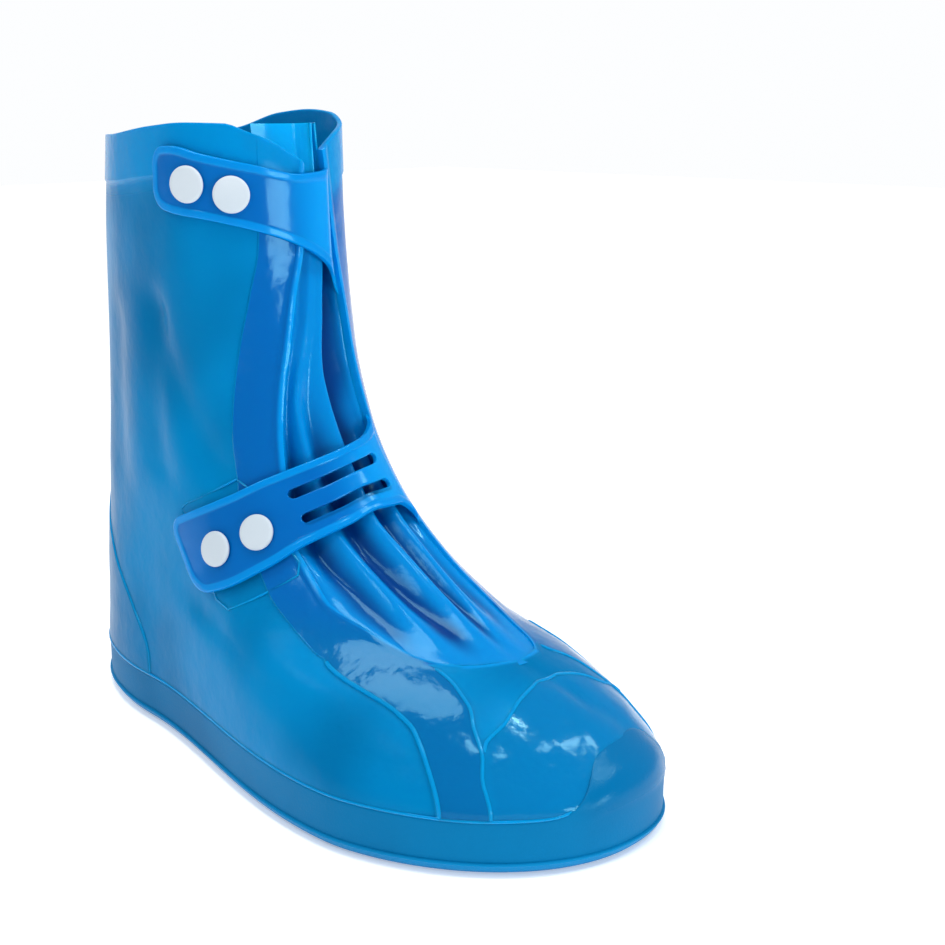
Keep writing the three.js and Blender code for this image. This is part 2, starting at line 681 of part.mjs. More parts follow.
// A wall or strap with a hole for each post.
function drill(geometry, frames) {
  const { radius, from, to } = HOLE;
  const profile = [[0, from], [radius, from], [radius, to], [0, to]];
  const drilled = frames.reduce(
    (solid, frame) => solid.subtract(solidOf(lathe(profile, SEGMENTS.hole, frame, 0))),
    solidOf(geometry),
  );
  return geometryOf(drilled);
}

const frames = SNAPS.map((snap) => ({ ...snap, ...snapFrame(snap) }));
const framesOn = (strap) => frames.filter((frame) => frame.strap === strap);
const { outerPoints, innerPoints, cells } = makeUpper();

const pieces = [
  ["outsole", makeOutsole(), MATERIALS.sole],
  ["foxing", makeFoxing(), MATERIALS.sole],
  ["upper", drill(wall(outerPoints, innerPoints, cells), frames), MATERIALS.panel],
  ["front_gusset", makeGusset(), MATERIALS.pleat],
  ["top_strap", drill(topStrap(), framesOn("top")), MATERIALS.strap],
  ["ankle_strap", drill(ankleStrap(), framesOn("ankle")), MATERIALS.strap],
  ...frames.flatMap((frame) => [
    [`${frame.name}_cap`, snapCap(frame), MATERIALS.snap],
    [`${frame.name}_post`, snapPost(frame), MATERIALS.snap],
  ]),
];

const group = new THREE.Group();
for (const [name, geometry, material] of pieces) {
  const mesh = new THREE.Mesh(geometry, material);
  mesh.name = name;
  group.add(mesh);
}

export default group;
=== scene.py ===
# The looks of a moulded PVC shoe cover around its CAD frame.
# Shapes are worked out in millimetres and made in metres. The toe points along -Y.

import bpy
import numpy as np
from mathutils import Matrix, Vector


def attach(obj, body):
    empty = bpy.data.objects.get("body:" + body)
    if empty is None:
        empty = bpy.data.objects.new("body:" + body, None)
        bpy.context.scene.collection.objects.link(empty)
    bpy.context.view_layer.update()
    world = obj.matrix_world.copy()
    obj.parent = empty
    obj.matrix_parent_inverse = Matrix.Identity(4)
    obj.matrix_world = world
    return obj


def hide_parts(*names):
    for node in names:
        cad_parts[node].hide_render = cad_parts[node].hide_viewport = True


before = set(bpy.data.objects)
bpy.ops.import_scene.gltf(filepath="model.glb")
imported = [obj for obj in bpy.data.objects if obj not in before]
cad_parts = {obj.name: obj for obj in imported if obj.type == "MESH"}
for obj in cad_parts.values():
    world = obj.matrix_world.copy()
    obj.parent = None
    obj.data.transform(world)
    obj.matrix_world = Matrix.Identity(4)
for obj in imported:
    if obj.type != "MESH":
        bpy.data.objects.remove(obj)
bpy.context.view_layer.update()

# The boot's form: the same tables as the CAD part's. A turn is a place round the boot in degrees: 0 at
# the back, 90 at the outer side, 180 at the front and 270 at the inner side.
FORM_SHIFT = (2.3, 2.1)
FOXING_PROUD = 0.5
FOXING_WALL = 1.7
FOXING_HEIGHT = 21
BUMPER_HEIGHT, BUMPER_TURN, BUMPER_HALF = 38, 185, 18
UPPER_WALL = 1.5
STRAP_WALL = 1.8
BAND_RELIEF = 0.8
HEM_HEIGHT, HEM_RELIEF = 19, 0.6
COUNTER_RELIEF = 0.6
SEAT_GAP = 0.3
STRAP_LIFT = 1.3
CAP_LIFT = 3.6
MM_PER_DEGREE = 1.25
OPENING_FOOT = 59.5
UPPER_FOOT = 5.3
TOP_Z = 248

# Height, then these measures of each section of the boot.
SECTION_NAMES = (
    "back", "toe", "heel", "fore", "back_end", "toe_end", "back_power", "toe_power", "lean", "bow",
)
SECTIONS = [
    (0, 143, -147, 35, 58, 0.24, 0.28, 0.5, 0.46, 12, 9),
    (6, 147, -152, 38, 62, 0.24, 0.28, 0.5, 0.46, 12, 9),
    (22, 147, -152, 38, 62, 0.24, 0.28, 0.5, 0.46, 12, 9),
    (38, 145, -139, 38, 60, 0.24, 0.31, 0.52, 0.48, 12, 8),
    (52, 144, -117, 38, 57, 0.25, 0.37, 0.54, 0.5, 11, 6),
    (66, 144, -83, 38, 50, 0.28, 0.45, 0.58, 0.52, 10, 4),
    (84, 145, -52, 38, 47, 0.34, 0.5, 0.64, 0.52, 8, 2),
    (108, 146, -24, 39, 45, 0.44, 0.46, 0.7, 0.5, 5, 1),
    (135, 148, -6, 40, 44, 0.56, 0.4, 0.78, 0.5, 3, 0),
    (165, 149, 3, 41, 42, 0.66, 0.34, 0.84, 0.5, 1, 0),
    (205, 148, 9, 42, 41, 0.72, 0.28, 0.88, 0.5, 0, 0),
    (248, 143.5, 11, 41, 40, 0.74, 0.26, 0.9, 0.5, 0, 0),
]
# Turn and height.
RIM = [
    (0, 247.5), (72, 249), (111, 253), (130, 254.3), (147, 254), (156, 251), (165, 247.3), (174, 242),
    (181, 238), (189, 243), (196, 247), (206, 251), (222, 254.5), (236, 258), (249, 259), (265, 257.5),
    (288, 250.5), (360, 247.5),
]
# Height, then degrees from the front centre: the opening's outer and inner edge, and the band's.
OPENING = [
    (0, 0, 0, 42, 40), (45, 0, 0, 42, 40), (50, 0, 0, 44, 39), (59.5, 0, 0, 54, 38), (59.9, 22, 9, 54, 38),
    (60.7, 28, 12, 55, 38), (62, 32, 14.5, 56, 38), (67, 38, 18, 58, 38), (76, 45, 21, 60, 38.5),
    (92, 44, 22, 58, 39), (122, 32, 22.5, 50, 39), (146, 24, 22, 43, 39), (170, 15, 20.5, 35, 37),
    (188, 9, 18.5, 28, 34), (207, 3, 15, 22, 31), (228, 1.2, 12, 20.5, 29), (260, 0.3, 8, 20, 27),
]
# Where the strip's inner line runs below the opening, and where the opening's lip ends above it.
LIP = [
    (0, 33, 31), (31, 33, 31), (40, 31, 29), (46, 30, 27), (52, 28, 24), (56, 28, 20), (59.5, 29.5, 15),
    (60.7, 32, 15), (62, 35, 17.5), (67, 41, 21), (76, 48, 24), (92, 47, 25), (122, 35, 25.5),
    (146, 27, 25), (170, 18.5, 23.5), (188, 12.5, 21.5), (207, 6.5, 18), (228, 4.5, 15), (260, 3.6, 11),
]
# The heel counter's edge: height, and half its width in degrees.
COUNTER_TOP = 95
COUNTER = [(0, 61), (30, 61), (50, 56), (70, 48), (95, 30), (260, 30)]
# Valleys: from one turn and height to another, depth and width.
DENTS = [
    (104, 182, 96, 118, 2.2, 9), (106, 178, 122, 122, 2.4, 9), (72, 170, 66, 110, 1.6, 12),
    (92, 62, 118, 44, 1.6, 9), (256, 180, 264, 118, 2.2, 10), (252, 170, 238, 120, 2.0, 9),
]
CREASES = [(177, 59, 184, 50, 0.7, 3), (184, 50, 190, 40, 0.8, 4), (166, 30, 172, 44, 0.9, 6)]
# Straps from free end to root: turn, and the height of the lower and the upper edge.
TOP_STRAP = [
    (115, 223, 245), (125, 220, 245.6), (138, 218, 242.7), (157, 213.5, 238.7), (177, 206, 234.8),
    (188, 199, 235.5), (196, 189, 237.5), (207, 176, 239),
]
ANKLE_STRAP = [
    (95.5, 69.5, 96), (108, 75.5, 102.5), (123, 84.5, 110), (140, 94, 118), (159, 100.5, 124),
    (177, 104.5, 128), (190, 104, 130.5), (199, 98.5, 134.5), (206, 92, 139), (213, 87, 142),
]
STRAP_CORNER = 7
# The slots run from one turn to another; half their width and their places are shares of the width.
SLOT_FROM, SLOT_TO, SLOT_HALF, SLOT_ROWS = 144, 190, 0.07, (0.29, 0.66)
# Each snap's strap, turn and share of the strap's width.
SNAPS = [
    ("top_snap_rear", TOP_STRAP, 132.4, 0.49),
    ("top_snap_front", TOP_STRAP, 148.8, 0.48),
    ("ankle_snap_rear", ANKLE_STRAP, 111.2, 0.45),
    ("ankle_snap_front", ANKLE_STRAP, 127.4, 0.41),
]
# The toe cap's upper line: degrees from the front centre, and height.
TOE_CAP = [(0, 55), (4, 55), (9, 54), (15, 52), (23, 47), (29, 43), (31, 40), (40, 40)]
# The raised outline under the ankle strap's free end: turn and height of each corner.
EMBOSS = [
    (101, 101.5), (104, 104), (128, 117), (131, 114), (134, 88), (131, 83.5), (104, 68), (101, 70),
    (101, 101.5),
]


def smooth(x):
    x = np.clip(x, 0, 1)
    return x * x * (3 - 2 * x)


def mix(a, b, share):
    return a + (b - a) * share


def curve(x, y):
    """A smooth function through the points, with no overshoot."""
    x, y = np.asarray(x, float), np.asarray(y, float)
    slope = np.diff(y) / np.diff(x)
    product, total = slope[:-1] * slope[1:], slope[:-1] + slope[1:]
    tangent = np.zeros(len(x))
    tangent[1:-1] = np.where(product > 0, 2 * product / np.where(total == 0, 1, total), 0)
    tangent[0], tangent[-1] = slope[0], slope[-1]

    def at(value):
        value = np.clip(value, x[0], x[-1])
        k = np.clip(np.searchsorted(x, value, side="right") - 1, 0, len(x) - 2)
        h = x[k + 1] - x[k]
        u = (value - x[k]) / h
        rise = u * u * (3 - 2 * u)
        bend = tangent[k] * u * (1 - u) ** 2 + tangent[k + 1] * u * u * (u - 1)
        return y[k] * (1 - rise) + y[k + 1] * rise + h * bend

    return at


def curves(table):
    columns = list(zip(*table))
    return [curve(columns[0], column) for column in columns[1:]]


section = dict(zip(SECTION_NAMES, curves(SECTIONS)))
rim = curves(RIM)[0]
edge_outer, edge_inner, band_outer, band_inner = curves(OPENING)
lip_outer, lip_inner = curves(LIP)
counter_half = curves(COUNTER)[0]
toe_cap = curves(TOE_CAP)[0]

# Where the heel's half width turns into the forefoot's, and where the toe starts to lean inwards, as
# shares of the way from back to toe; then the steps, in degrees and millimetres, of the form's normal.
WIDENING_START, WIDENING_SPAN = 0.26, 0.5
LEAN_START, LEAN_SPAN = 0.35, 0.65
NORMAL_TURN, NORMAL_RISE = 0.8, 1


def form(z, turn):
    """The boot's smooth outer form at a height and a turn."""
    z, turn = np.broadcast_arrays(np.asarray(z, float), np.asarray(turn, float))
    g = {name: at(np.clip(z, 0, TOP_Z)) for name, at in section.items()}
    along = (1 - np.cos(np.radians(turn))) / 2
    half = mix(g["heel"], g["fore"], smooth((along - WIDENING_START) / WIDENING_SPAN))
    from_back = np.clip(along / g["back_end"], 0, 1)
    from_toe = np.clip((1 - along) / g["toe_end"], 0, 1)
    ends = (1 - (1 - from_back) ** 2) ** g["back_power"] * (1 - (1 - from_toe) ** 2) ** g["toe_power"]
    leaning = np.clip((along - LEAN_START) / LEAN_SPAN, 0, 1) ** 2
    centre = g["lean"] * leaning - g["bow"] * np.sin(np.pi * along)
    side = np.where(np.mod(turn, 360) < 180, -1, 1)
    x = centre + side * half * ends + FORM_SHIFT[0]
    y = mix(g["back"], g["toe"], along) + FORM_SHIFT[1]
    return np.stack([x, y, z], -1)


def unit(v):
    return v / np.maximum(np.linalg.norm(v, axis=-1, keepdims=True), 1e-9)


def form_normal(z, turn):
    z = np.asarray(z, float)
    around = form(z, turn + NORMAL_TURN) - form(z, turn - NORMAL_TURN)
    up = form(np.minimum(z + NORMAL_RISE, TOP_Z), turn) - form(np.minimum(z, TOP_Z) - NORMAL_RISE, turn)
    return unit(np.cross(around, up))


def offset(z, turn, distance):
    return form(z, turn) + form_normal(z, turn) * np.asarray(distance, float)[..., None]


def foxing_top(turn):
    away = (turn - BUMPER_TURN) / BUMPER_HALF
    return FOXING_HEIGHT + (BUMPER_HEIGHT - FOXING_HEIGHT) * np.exp(-(away**4))


def valley(z, turn, dents):
    """How far a place is pressed in by a list of soft valleys."""
    total = np.zeros(np.shape(z))
    for turn_a, z_a, turn_b, z_b, depth, width in dents:
        line = np.array([(turn_b - turn_a) * MM_PER_DEGREE, z_b - z_a])
        dx, dz = (turn - turn_a) * MM_PER_DEGREE, z - z_a
        share = np.clip((dx * line[0] + dz * line[1]) / (line @ line), 0, 1)
        distance = np.hypot(dx - share * line[0], dz - share * line[1])
        total = total - depth * np.exp(-((distance / width) ** 2))
    return total


def distance_to(points, path):
    """The distance from each point to the nearest point of a dense path."""
    flat = points.reshape(-1, 3)
    nearest = np.empty(len(flat))
    for start in range(0, len(flat), 4000):
        part = flat[start : start + 4000]
        nearest[start : start + 4000] = np.sqrt(((part[:, None] - path[None]) ** 2).sum(-1).min(1))
    return nearest.reshape(points.shape[:-1])


def grid_normals(points):
    """Normals of a grid of points, for rows upwards and columns counterclockwise from above."""
    along = np.gradient(points, axis=1)
    up = np.gradient(points, axis=0)
    return unit(np.cross(along, up))


def grid_quads(rows, columns, skip=None):
    """Quads of a grid, facing out where rows run upwards and columns counterclockwise from above."""
    r, c = np.meshgrid(np.arange(rows - 1), np.arange(columns - 1), indexing="ij")
    if skip is not None:
        keep = ~skip(r, c)
        r, c = r[keep], c[keep]
    r, c = r.ravel(), c.ravel()
    a = r * columns + c
    return np.stack([a, a + 1, a + columns + 1, a + columns], 1)


def ring_quads(rows, columns):
    """Quads of closed rings one above the other, each counterclockwise from above."""
    r, c = np.meshgrid(np.arange(rows - 1), np.arange(columns), indexing="ij")
    r, c = r.ravel(), c.ravel()
    n = (c + 1) % columns
    return np.stack([r * columns + c, r * columns + n, (r + 1) * columns + n, (r + 1) * columns + c], 1)


def wall(outer, inner, quads):
    """A closed skin: quads on outer, the same turned over on inner, and strips along open edges."""
    count = len(outer)
    edges = np.concatenate([quads[:, [i, (i + 1) % 4]] for i in range(4)])
    key = edges.min(1).astype(np.int64) * count + edges.max(1)
    _, first, times = np.unique(key, return_index=True, return_counts=True)
    border = edges[first[times == 1]]
    strips = np.stack([border[:, 1], border[:, 0], border[:, 0] + count, border[:, 1] + count], 1)
    return np.concatenate([outer, inner]), np.concatenate([quads, quads[:, ::-1] + count, strips])


def add_mesh(name, points, faces, material, replaces, values=None, sharp=35):
    """Makes a piece from points in millimetres and hangs it on the frame."""
    mesh = bpy.data.meshes.new(name)
    mesh.from_pydata((np.asarray(points) / 1000).tolist(), [], [list(map(int, f)) for f in faces])
    for key, value in (values or {}).items():
        mesh.attributes.new(key, "FLOAT", "POINT").data.foreach_set("value", np.asarray(value, np.float32))
    mesh.polygons.foreach_set("use_smooth", [True] * len(mesh.polygons))
    mesh.update()
    mesh.set_sharp_from_angle(angle=np.radians(sharp))
    mesh.materials.append(material)
    obj = bpy.data.objects.new(name, mesh)
    bpy.context.scene.collection.objects.link(obj)
    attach(obj, "root")
    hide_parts(*replaces)
    return obj


# Materials


def srgb(r, g, b):
    """Linear colour of a colour given in steps of 255."""
    c = np.array([r, g, b], float) / 255
    return tuple(np.where(c <= 0.04045, c / 12.92, ((c + 0.055) / 1.055) ** 2.4)) + (1.0,)


GLOSS = 0.26
PVC_IOR = 1.47
PVC_SPECULAR_TINT = (0.35, 0.9, 1.0, 1)
SCATTER_RADIUS = (0.3, 0.7, 1.0)
SCATTER_DEPTH = 0.004


def plastic(
    name, base, deep, roughness, zones=(), specular=GLOSS, subsurface=0.0, mottle=16,
    wave=(0, 1), grain=(0, 1),
):
    """A plastic. base and deep are mottled together at a scale per metre; each zone is (attribute, from,
    to, colour, roughness, gloss); wave and grain are bumps: depth in millimetres and scale per metre."""
    material = bpy.data.materials.new(name)
    material.use_nodes = True
    nodes, links = material.node_tree.nodes, material.node_tree.links
    shader = nodes["Principled BSDF"]
    shader.inputs["IOR"].default_value = PVC_IOR
    shader.inputs["Specular IOR Level"].default_value = specular
    shader.inputs["Specular Tint"].default_value = PVC_SPECULAR_TINT
    shader.inputs["Subsurface Weight"].default_value = subsurface
    shader.inputs["Subsurface Radius"].default_value = SCATTER_RADIUS
    shader.inputs["Subsurface Scale"].default_value = SCATTER_DEPTH
    place = nodes.new("ShaderNodeTexCoord").outputs["Object"]

    def noise(scale, detail):
        node = nodes.new("ShaderNodeTexNoise")
        node.inputs["Scale"].default_value = scale
        node.inputs["Detail"].default_value = detail
        links.new(place, node.inputs["Vector"])
        return node.outputs["Fac"]

    def mapped(source, low, high, out_low=0.0, out_high=1.0):
        node = nodes.new("ShaderNodeMapRange")
        node.interpolation_type = "SMOOTHSTEP"
        ends = {"From Min": low, "From Max": high, "To Min": out_low, "To Max": out_high}
        for key, value in ends.items():
            node.inputs[key].default_value = value
        links.new(source, node.inputs["Value"])
        return node.outputs["Result"]

    def mixed(kind, factor, a, b):
        node = nodes.new("ShaderNodeMix")
        node.data_type = kind
        pick = 0 if kind == "FLOAT" else 2
        ends = [s for s in node.inputs if s.type == ("VALUE" if kind == "FLOAT" else "RGBA")]
        ends = ends[1:] if kind == "FLOAT" else ends
        links.new(factor, node.inputs["Factor"])
        for socket, value in zip(ends, (a, b)):
            if isinstance(value, bpy.types.NodeSocket):
                links.new(value, socket)
            else:
                socket.default_value = value
        return node.outputs[pick]

    color = mixed("RGBA", mapped(noise(mottle, 2), 0.35, 0.65), base, deep)
    rough, gloss = roughness, specular
    for attribute, low, high, zone_color, zone_roughness, zone_gloss in zones:
        source = nodes.new("ShaderNodeAttribute")
        source.attribute_name = attribute
        factor = mapped(source.outputs["Fac"], low, high)
        color = mixed("RGBA", factor, color, zone_color)
        rough = mixed("FLOAT", factor, rough, zone_roughness)
        gloss = mixed("FLOAT", factor, gloss, zone_gloss)
    links.new(color, shader.inputs["Base Color"])
    if isinstance(rough, float):
        shader.inputs["Roughness"].default_value = rough
    else:
        links.new(rough, shader.inputs["Roughness"])
        links.new(gloss, shader.inputs["Specular IOR Level"])
    normal = None
    for depth, scale in (wave, grain):
        if depth:
            bump = nodes.new("ShaderNodeBump")
            bump.inputs["Distance"].default_value = depth / 1000
            links.new(noise(scale, 3), bump.inputs["Height"])
            if normal is not None:
                links.new(normal, bump.inputs["Normal"])
            normal = bump.outputs["Normal"]
    if normal is not None:
        links.new(normal, shader.inputs["Normal"])
    return material


upper_material = plastic(
    "panel PVC", srgb(0, 128, 188), srgb(0, 106, 160), 0.28, specular=0.06, subsurface=0.35, mottle=12,
    wave=(0.8, 50), grain=(0.03, 900),
    zones=[
        ("band", -0.3, 0.3, srgb(0, 96, 172), 0.12, GLOSS),
        ("foot", 0.0, 1.0, srgb(0, 100, 160), 0.08, GLOSS),
        ("toe", 0.0, 1.0, srgb(0, 112, 170), 0.1, GLOSS),
        ("hem", -8, 3, srgb(0, 134, 198), 0.2, 0.1),
        # The lip zone is a painted highlight: lighter along the opening's raised lip and on the moulded
        # lines.
        ("lip", 3.0, 1.0, srgb(0, 138, 212), 0.15, GLOSS),
    ],
)
# The pleats' colour is painted light and shade. The dark base is painted shade in the valleys, where the
# plastic also lies doubled, and the two lighter zones paint light on the ridges and near the rim.
gusset_material = plastic(
    "pleat PVC", srgb(0, 56, 128), srgb(0, 50, 120), 0.14, subsurface=0.35, wave=(0.5, 60),
    zones=[
        ("pleat_shading", 0.05, 0.85, srgb(0, 128, 202), 0.14, GLOSS),
        ("pleat_shading", 1.0, 1.8, srgb(0, 156, 226), 0.14, GLOSS),
    ],
)
strap_material = plastic(
    "strap PVC", srgb(0, 104, 184), srgb(0, 96, 174), 0.14, subsurface=0.35, wave=(0.4, 55),
    zones=[
        # Painted light: the strap is painted lighter towards its root, for light showing through it there,
        # and along its raised rim as a painted highlight.
        ("along", 0.5, 0.8, srgb(0, 142, 218), 0.14, GLOSS),
        ("rim", 3.6, 2.6, srgb(0, 132, 208), 0.14, GLOSS),
    ],
)
foxing_material = plastic(
    "foxing PVC", srgb(0, 112, 166), srgb(0, 102, 154), 0.5, specular=0.12, grain=(0.1, 1400),
    zones=[("bumper", 0.3, 1.0, srgb(0, 100, 154), 0.14, 0.2)],
)
# The sole's blue is partly a painted highlight: it is lighter than the foxing's, for the light line that
# its welt catches.
sole_material = plastic(
    "sole PVC", srgb(0, 126, 184), srgb(0, 118, 174), 0.5, specular=0.15, grain=(0.12, 1400),
)
snap_material = plastic(
    "snap plastic", srgb(200, 211, 220), srgb(190, 203, 213), 0.55, specular=0.3, grain=(0.06, 1800),
)
snap_material.node_tree.nodes["Principled BSDF"].inputs["Specular Tint"].default_value = (1, 1, 1, 1)

# The upper


def boundaries(z, outer_side):
    """Degrees from the front centre to the opening, the lip, the band, the counter and the back."""
    pick = lambda a, b: np.where(outer_side, a(z), b(z))
    return [
        pick(edge_outer, edge_inner), pick(lip_outer, lip_inner), pick(band_outer, band_inner),
        180 - counter_half(z), 180.0 + 0 * z,
    ]


def side_columns():
    """Columns of one side: (boundary, shift) before and after in degrees, and the share between."""
    made = []

    def span(before, after, count, last=False):
        shares = np.arange(count + (1 if last else 0)) / count
        made.extend((before, after, share) for share in shares)

    span((0, 0), (1, 0), 14)
    span((1, 0), (2, -0.5), 14)
    span((2, -0.5), (2, 1.1), 8)
    span((2, 1.1), (3, -0.9), 46)
    span((3, -0.9), (3, 0.7), 6)
    span((3, 0.7), (4, 0), 14, last=True)
    return made


SIDE = side_columns()
COLUMNS = SIDE + SIDE[-2::-1]
OUTER_SIDE = np.arange(len(COLUMNS)) < len(SIDE)


def column_turns(z):
    ends = np.array(boundaries(z, OUTER_SIDE))
    index = np.arange(len(COLUMNS))
    before = ends[[c[0][0] for c in COLUMNS], index] + [c[0][1] for c in COLUMNS]
    after = ends[[c[1][0] for c in COLUMNS], index] + [c[1][1] for c in COLUMNS]
    from_front = mix(before, after, np.array([c[2] for c in COLUMNS]))
    return np.where(OUTER_SIDE, 180 - from_front, 180 + from_front)


def settled(height):
    """Heights of a row whose height depends on the turn, which depends on the height."""
    z = height(np.full(len(COLUMNS), 180.0))
    for _ in range(5):
        z = height(column_turns(z))
    return z


# Rows close together: how far below the opening's foot, at which heights above it, and how far below
# the rim. MID_Z is where rows stop being level; the last numbers count the rows between the clusters.
FOOT_CLUSTER = (3.6, 2.6, 1.8, 1.2, 0.7, 0.3, 0)
OPEN_CLUSTER = (59.6, 59.75, 59.9, 60.3, 60.7, 61.3, 62, 63, 64.3, 66)
RIM_CLUSTER = (
    21.5, 20.4, 19.7, 19.4, 19.1, 18.8, 18.5, 18, 16, 13, 10, 7, 4.5, 2.6, 1.5, 0.9, 0.5, 0.22, 0.06, 0,
)
MID_Z = 140
FOOT_ROWS, MIDDLE_ROWS, SHAFT_ROWS = 34, 44, 44


def upper_rows():
    """Heights of the upper's rows from foot to rim, and the number of rows below the opening."""
    rows = [settled(lambda t, s=s: mix(UPPER_FOOT, foxing_top(t), s)) for s in (0, 0.5, 0.9)]
    low = lambda t: foxing_top(t) - 0.4
    for i in range(FOOT_ROWS):
        rows.append(settled(lambda t, s=i / FOOT_ROWS: mix(low(t), OPENING_FOOT - FOOT_CLUSTER[0], s)))
    closed = len(rows) + len(FOOT_CLUSTER)
    rows += [np.full(len(COLUMNS), OPENING_FOOT - d) for d in FOOT_CLUSTER]
    rows += [np.full(len(COLUMNS), z) for z in OPEN_CLUSTER]
    rows += [np.full(len(COLUMNS), z) for z in np.linspace(OPEN_CLUSTER[-1], MID_Z, MIDDLE_ROWS)[1:]]
    for i in range(1, SHAFT_ROWS):
        rows.append(settled(lambda t, s=i / SHAFT_ROWS: mix(MID_Z, rim(t) - RIM_CLUSTER[0], s)))
    rows += [settled(lambda t, d=d: rim(t) - d) for d in RIM_CLUSTER]
    return np.array(rows), closed


row_z, closed_rows = upper_rows()
row_turn = np.array([column_turns(z) for z in row_z])
from_front = np.abs(180 - row_turn)
outer_half = row_turn < 180


# The opening widens fast between these heights, so its edge needs closer points there.
WIDE_FOOT, NEAR_FOOT = 67, 59.92


def opening_path():
    """The opening's edge as a dense line of points: down the outer side, round the foot, up the inner."""
    z = np.concatenate([np.arange(256, WIDE_FOOT, -1.0), np.arange(WIDE_FOOT, 59.9, -0.15)])
    down = form(z, 180 - edge_outer(z))
    foot_turn = np.arange(180 - edge_outer(NEAR_FOOT), 180 + edge_inner(NEAR_FOOT), 0.5)
    across = form(np.full(len(foot_turn), OPENING_FOOT), foot_turn)
    return np.concatenate([down, across, form(z[::-1], 180 + edge_inner(z[::-1]))])


base_points = form(row_z, row_turn)
to_opening = distance_to(base_points, opening_path())
band_at = np.where(outer_half, band_outer(row_z), band_inner(row_z))
lip_at = np.where(outer_half, lip_outer(row_z), lip_inner(row_z))
# Distances into each region in millimetres, below 0 outside it. The toe cap's line runs up a slope, so
# a step of height there is a longer one on the surface.
TOE_CAP_SLOPE = 1.9
to_band = (band_at - from_front) * MM_PER_DEGREE
to_strip = (from_front - lip_at) * MM_PER_DEGREE
to_hem = row_z - (rim(row_turn) - HEM_HEIGHT)
to_counter = (counter_half(row_z) - (180 - from_front)) * MM_PER_DEGREE
to_toe_cap = (toe_cap(from_front) - row_z) * TOE_CAP_SLOPE

# Reliefs in millimetres. Each region counts from 0 to 1 across the width of its edge. The roll is the
# rim's bent edge at the front of the outer side.
STRIP_RELIEF, TOE_CAP_RELIEF = 0.55, -0.35
LIP_RELIEF, LIP_MIDDLE, LIP_HALF = 0.9, 1.5, 1.8
ROLL, ROLL_HEIGHT = 2.4, 7
ROLL_FROM, ROLL_RISE, ROLL_TO, ROLL_FALL = 153, 9, 181, 5
RIM_ROUND = 0.55
below = smooth((61 - row_z) / 3)
on_band = smooth(to_band / 1.0 + 1)
on_strip = mix(1.0, smooth(to_strip / 1.2 + 0.5), below)
on_toe_cap = smooth(to_toe_cap / 1.4 + 0.5) * (1 - on_strip)
lip_strength = np.interp(row_z, [59, 75, 110, 150, 200], [0.12, 0.3, 0.65, 1.0, 1.0])
lip_profile = np.sqrt(np.clip(1 - ((to_opening - LIP_MIDDLE) / LIP_HALF) ** 2, 0, 1))
on_hem = smooth(to_hem / 1.2 + 1)
on_counter = smooth(to_counter / 1.2 + 0.5) * smooth((COUNTER_TOP - row_z) / 3)
front_relief = (
    BAND_RELIEF * on_band * on_strip + STRIP_RELIEF * (1 - on_strip) * on_band + TOE_CAP_RELIEF * on_toe_cap
)
relief = np.maximum.reduce([front_relief, HEM_RELIEF * on_hem, COUNTER_RELIEF * on_counter])
relief = relief + LIP_RELIEF * lip_strength * lip_profile * (to_opening < LIP_MIDDLE + LIP_HALF)
above = smooth((row_z - foxing_top(row_turn) + 1.6) / 1.2)
to_rim = rim(row_turn) - row_z
roll_at = smooth((row_turn - ROLL_FROM) / ROLL_RISE) * smooth((ROLL_TO - row_turn) / ROLL_FALL)
roll = ROLL * roll_at * smooth(1 - to_rim / ROLL_HEIGHT)
relief = above * (relief + roll + valley(row_z, row_turn, DENTS) + valley(row_z, row_turn, CREASES))
relief = mix(FOXING_PROUD - FOXING_WALL - SEAT_GAP, relief, above)
past_round = np.clip(RIM_ROUND - to_rim, 0, RIM_ROUND)
rim_round = RIM_ROUND - np.sqrt(np.clip(RIM_ROUND**2 - past_round**2, 0, None))
outer_skin = offset(row_z, row_turn, relief - rim_round)
inner_skin = offset(row_z, row_turn, np.minimum(relief, 0) - UPPER_WALL + rim_round)
inner_skin[-1, :, 2] = outer_skin[-1, :, 2] = row_z[-1]
outer_skin[0, :, 2] = inner_skin[0, :, 2] = UPPER_FOOT

# Columns run clockwise, so the quads are turned over. Below the opening the last column is the first.
quads = grid_quads(*row_z.shape)[:, ::-1]
columns = row_z.shape[1]
seam = np.arange(closed_rows) * columns
lookup = np.arange(row_z.size)
lookup[seam + columns - 1] = seam
skin_points, skin_faces = wall(outer_skin.reshape(-1, 3), inner_skin.reshape(-1, 3), lookup[quads])


# Beads: sides, share of the radius at the ends, and number of points their height is evened over
BEAD_SIDES, BEAD_END, BEAD_EVENED = 8, 0.2, 13


def sweep(path, normals, radius, sink, sides=BEAD_SIDES):
    """A thin round bead along a path on a surface, sunk into it and tapered at its ends."""
    path = path - normals * sink
    tangent = unit(np.gradient(path, axis=0))
    across = unit(np.cross(normals, tangent))
    lift = np.cross(tangent, across)
    angle = np.arange(sides) * 2 * np.pi / sides
    taper = np.ones(len(path))
    taper[[0, -1]] = BEAD_END
    ring = np.cos(angle)[None, :, None] * across[:, None] + np.sin(angle)[None, :, None] * lift[:, None]
    points = path[:, None] + ring * radius * taper[:, None, None]
    faces = []
    for i in range(len(path) - 1):
        for j in range(sides):
            k = (j + 1) % sides
            faces.append([i * sides + j, i * sides + k, (i + 1) * sides + k, (i + 1) * sides + j])
    faces.append(list(range(sides))[::-1])
    faces.append([(len(path) - 1) * sides + j for j in range(sides)])
    return points.reshape(-1, 3), faces


def surface_height(z, turn):
    """The relief of the upper along a line, from the nearest vertices of its grid, evened out."""
    at = form(z, turn)
    flat = base_points.reshape(-1, 3)
    nearest = [int(((flat - p) ** 2).sum(1).argmin()) for p in at]
    padded = np.pad(relief.ravel()[nearest], BEAD_EVENED // 2, mode="edge")
    return np.convolve(padded, np.full(BEAD_EVENED, 1 / BEAD_EVENED), mode="valid")


points, faces = [skin_points], [skin_faces.tolist()]


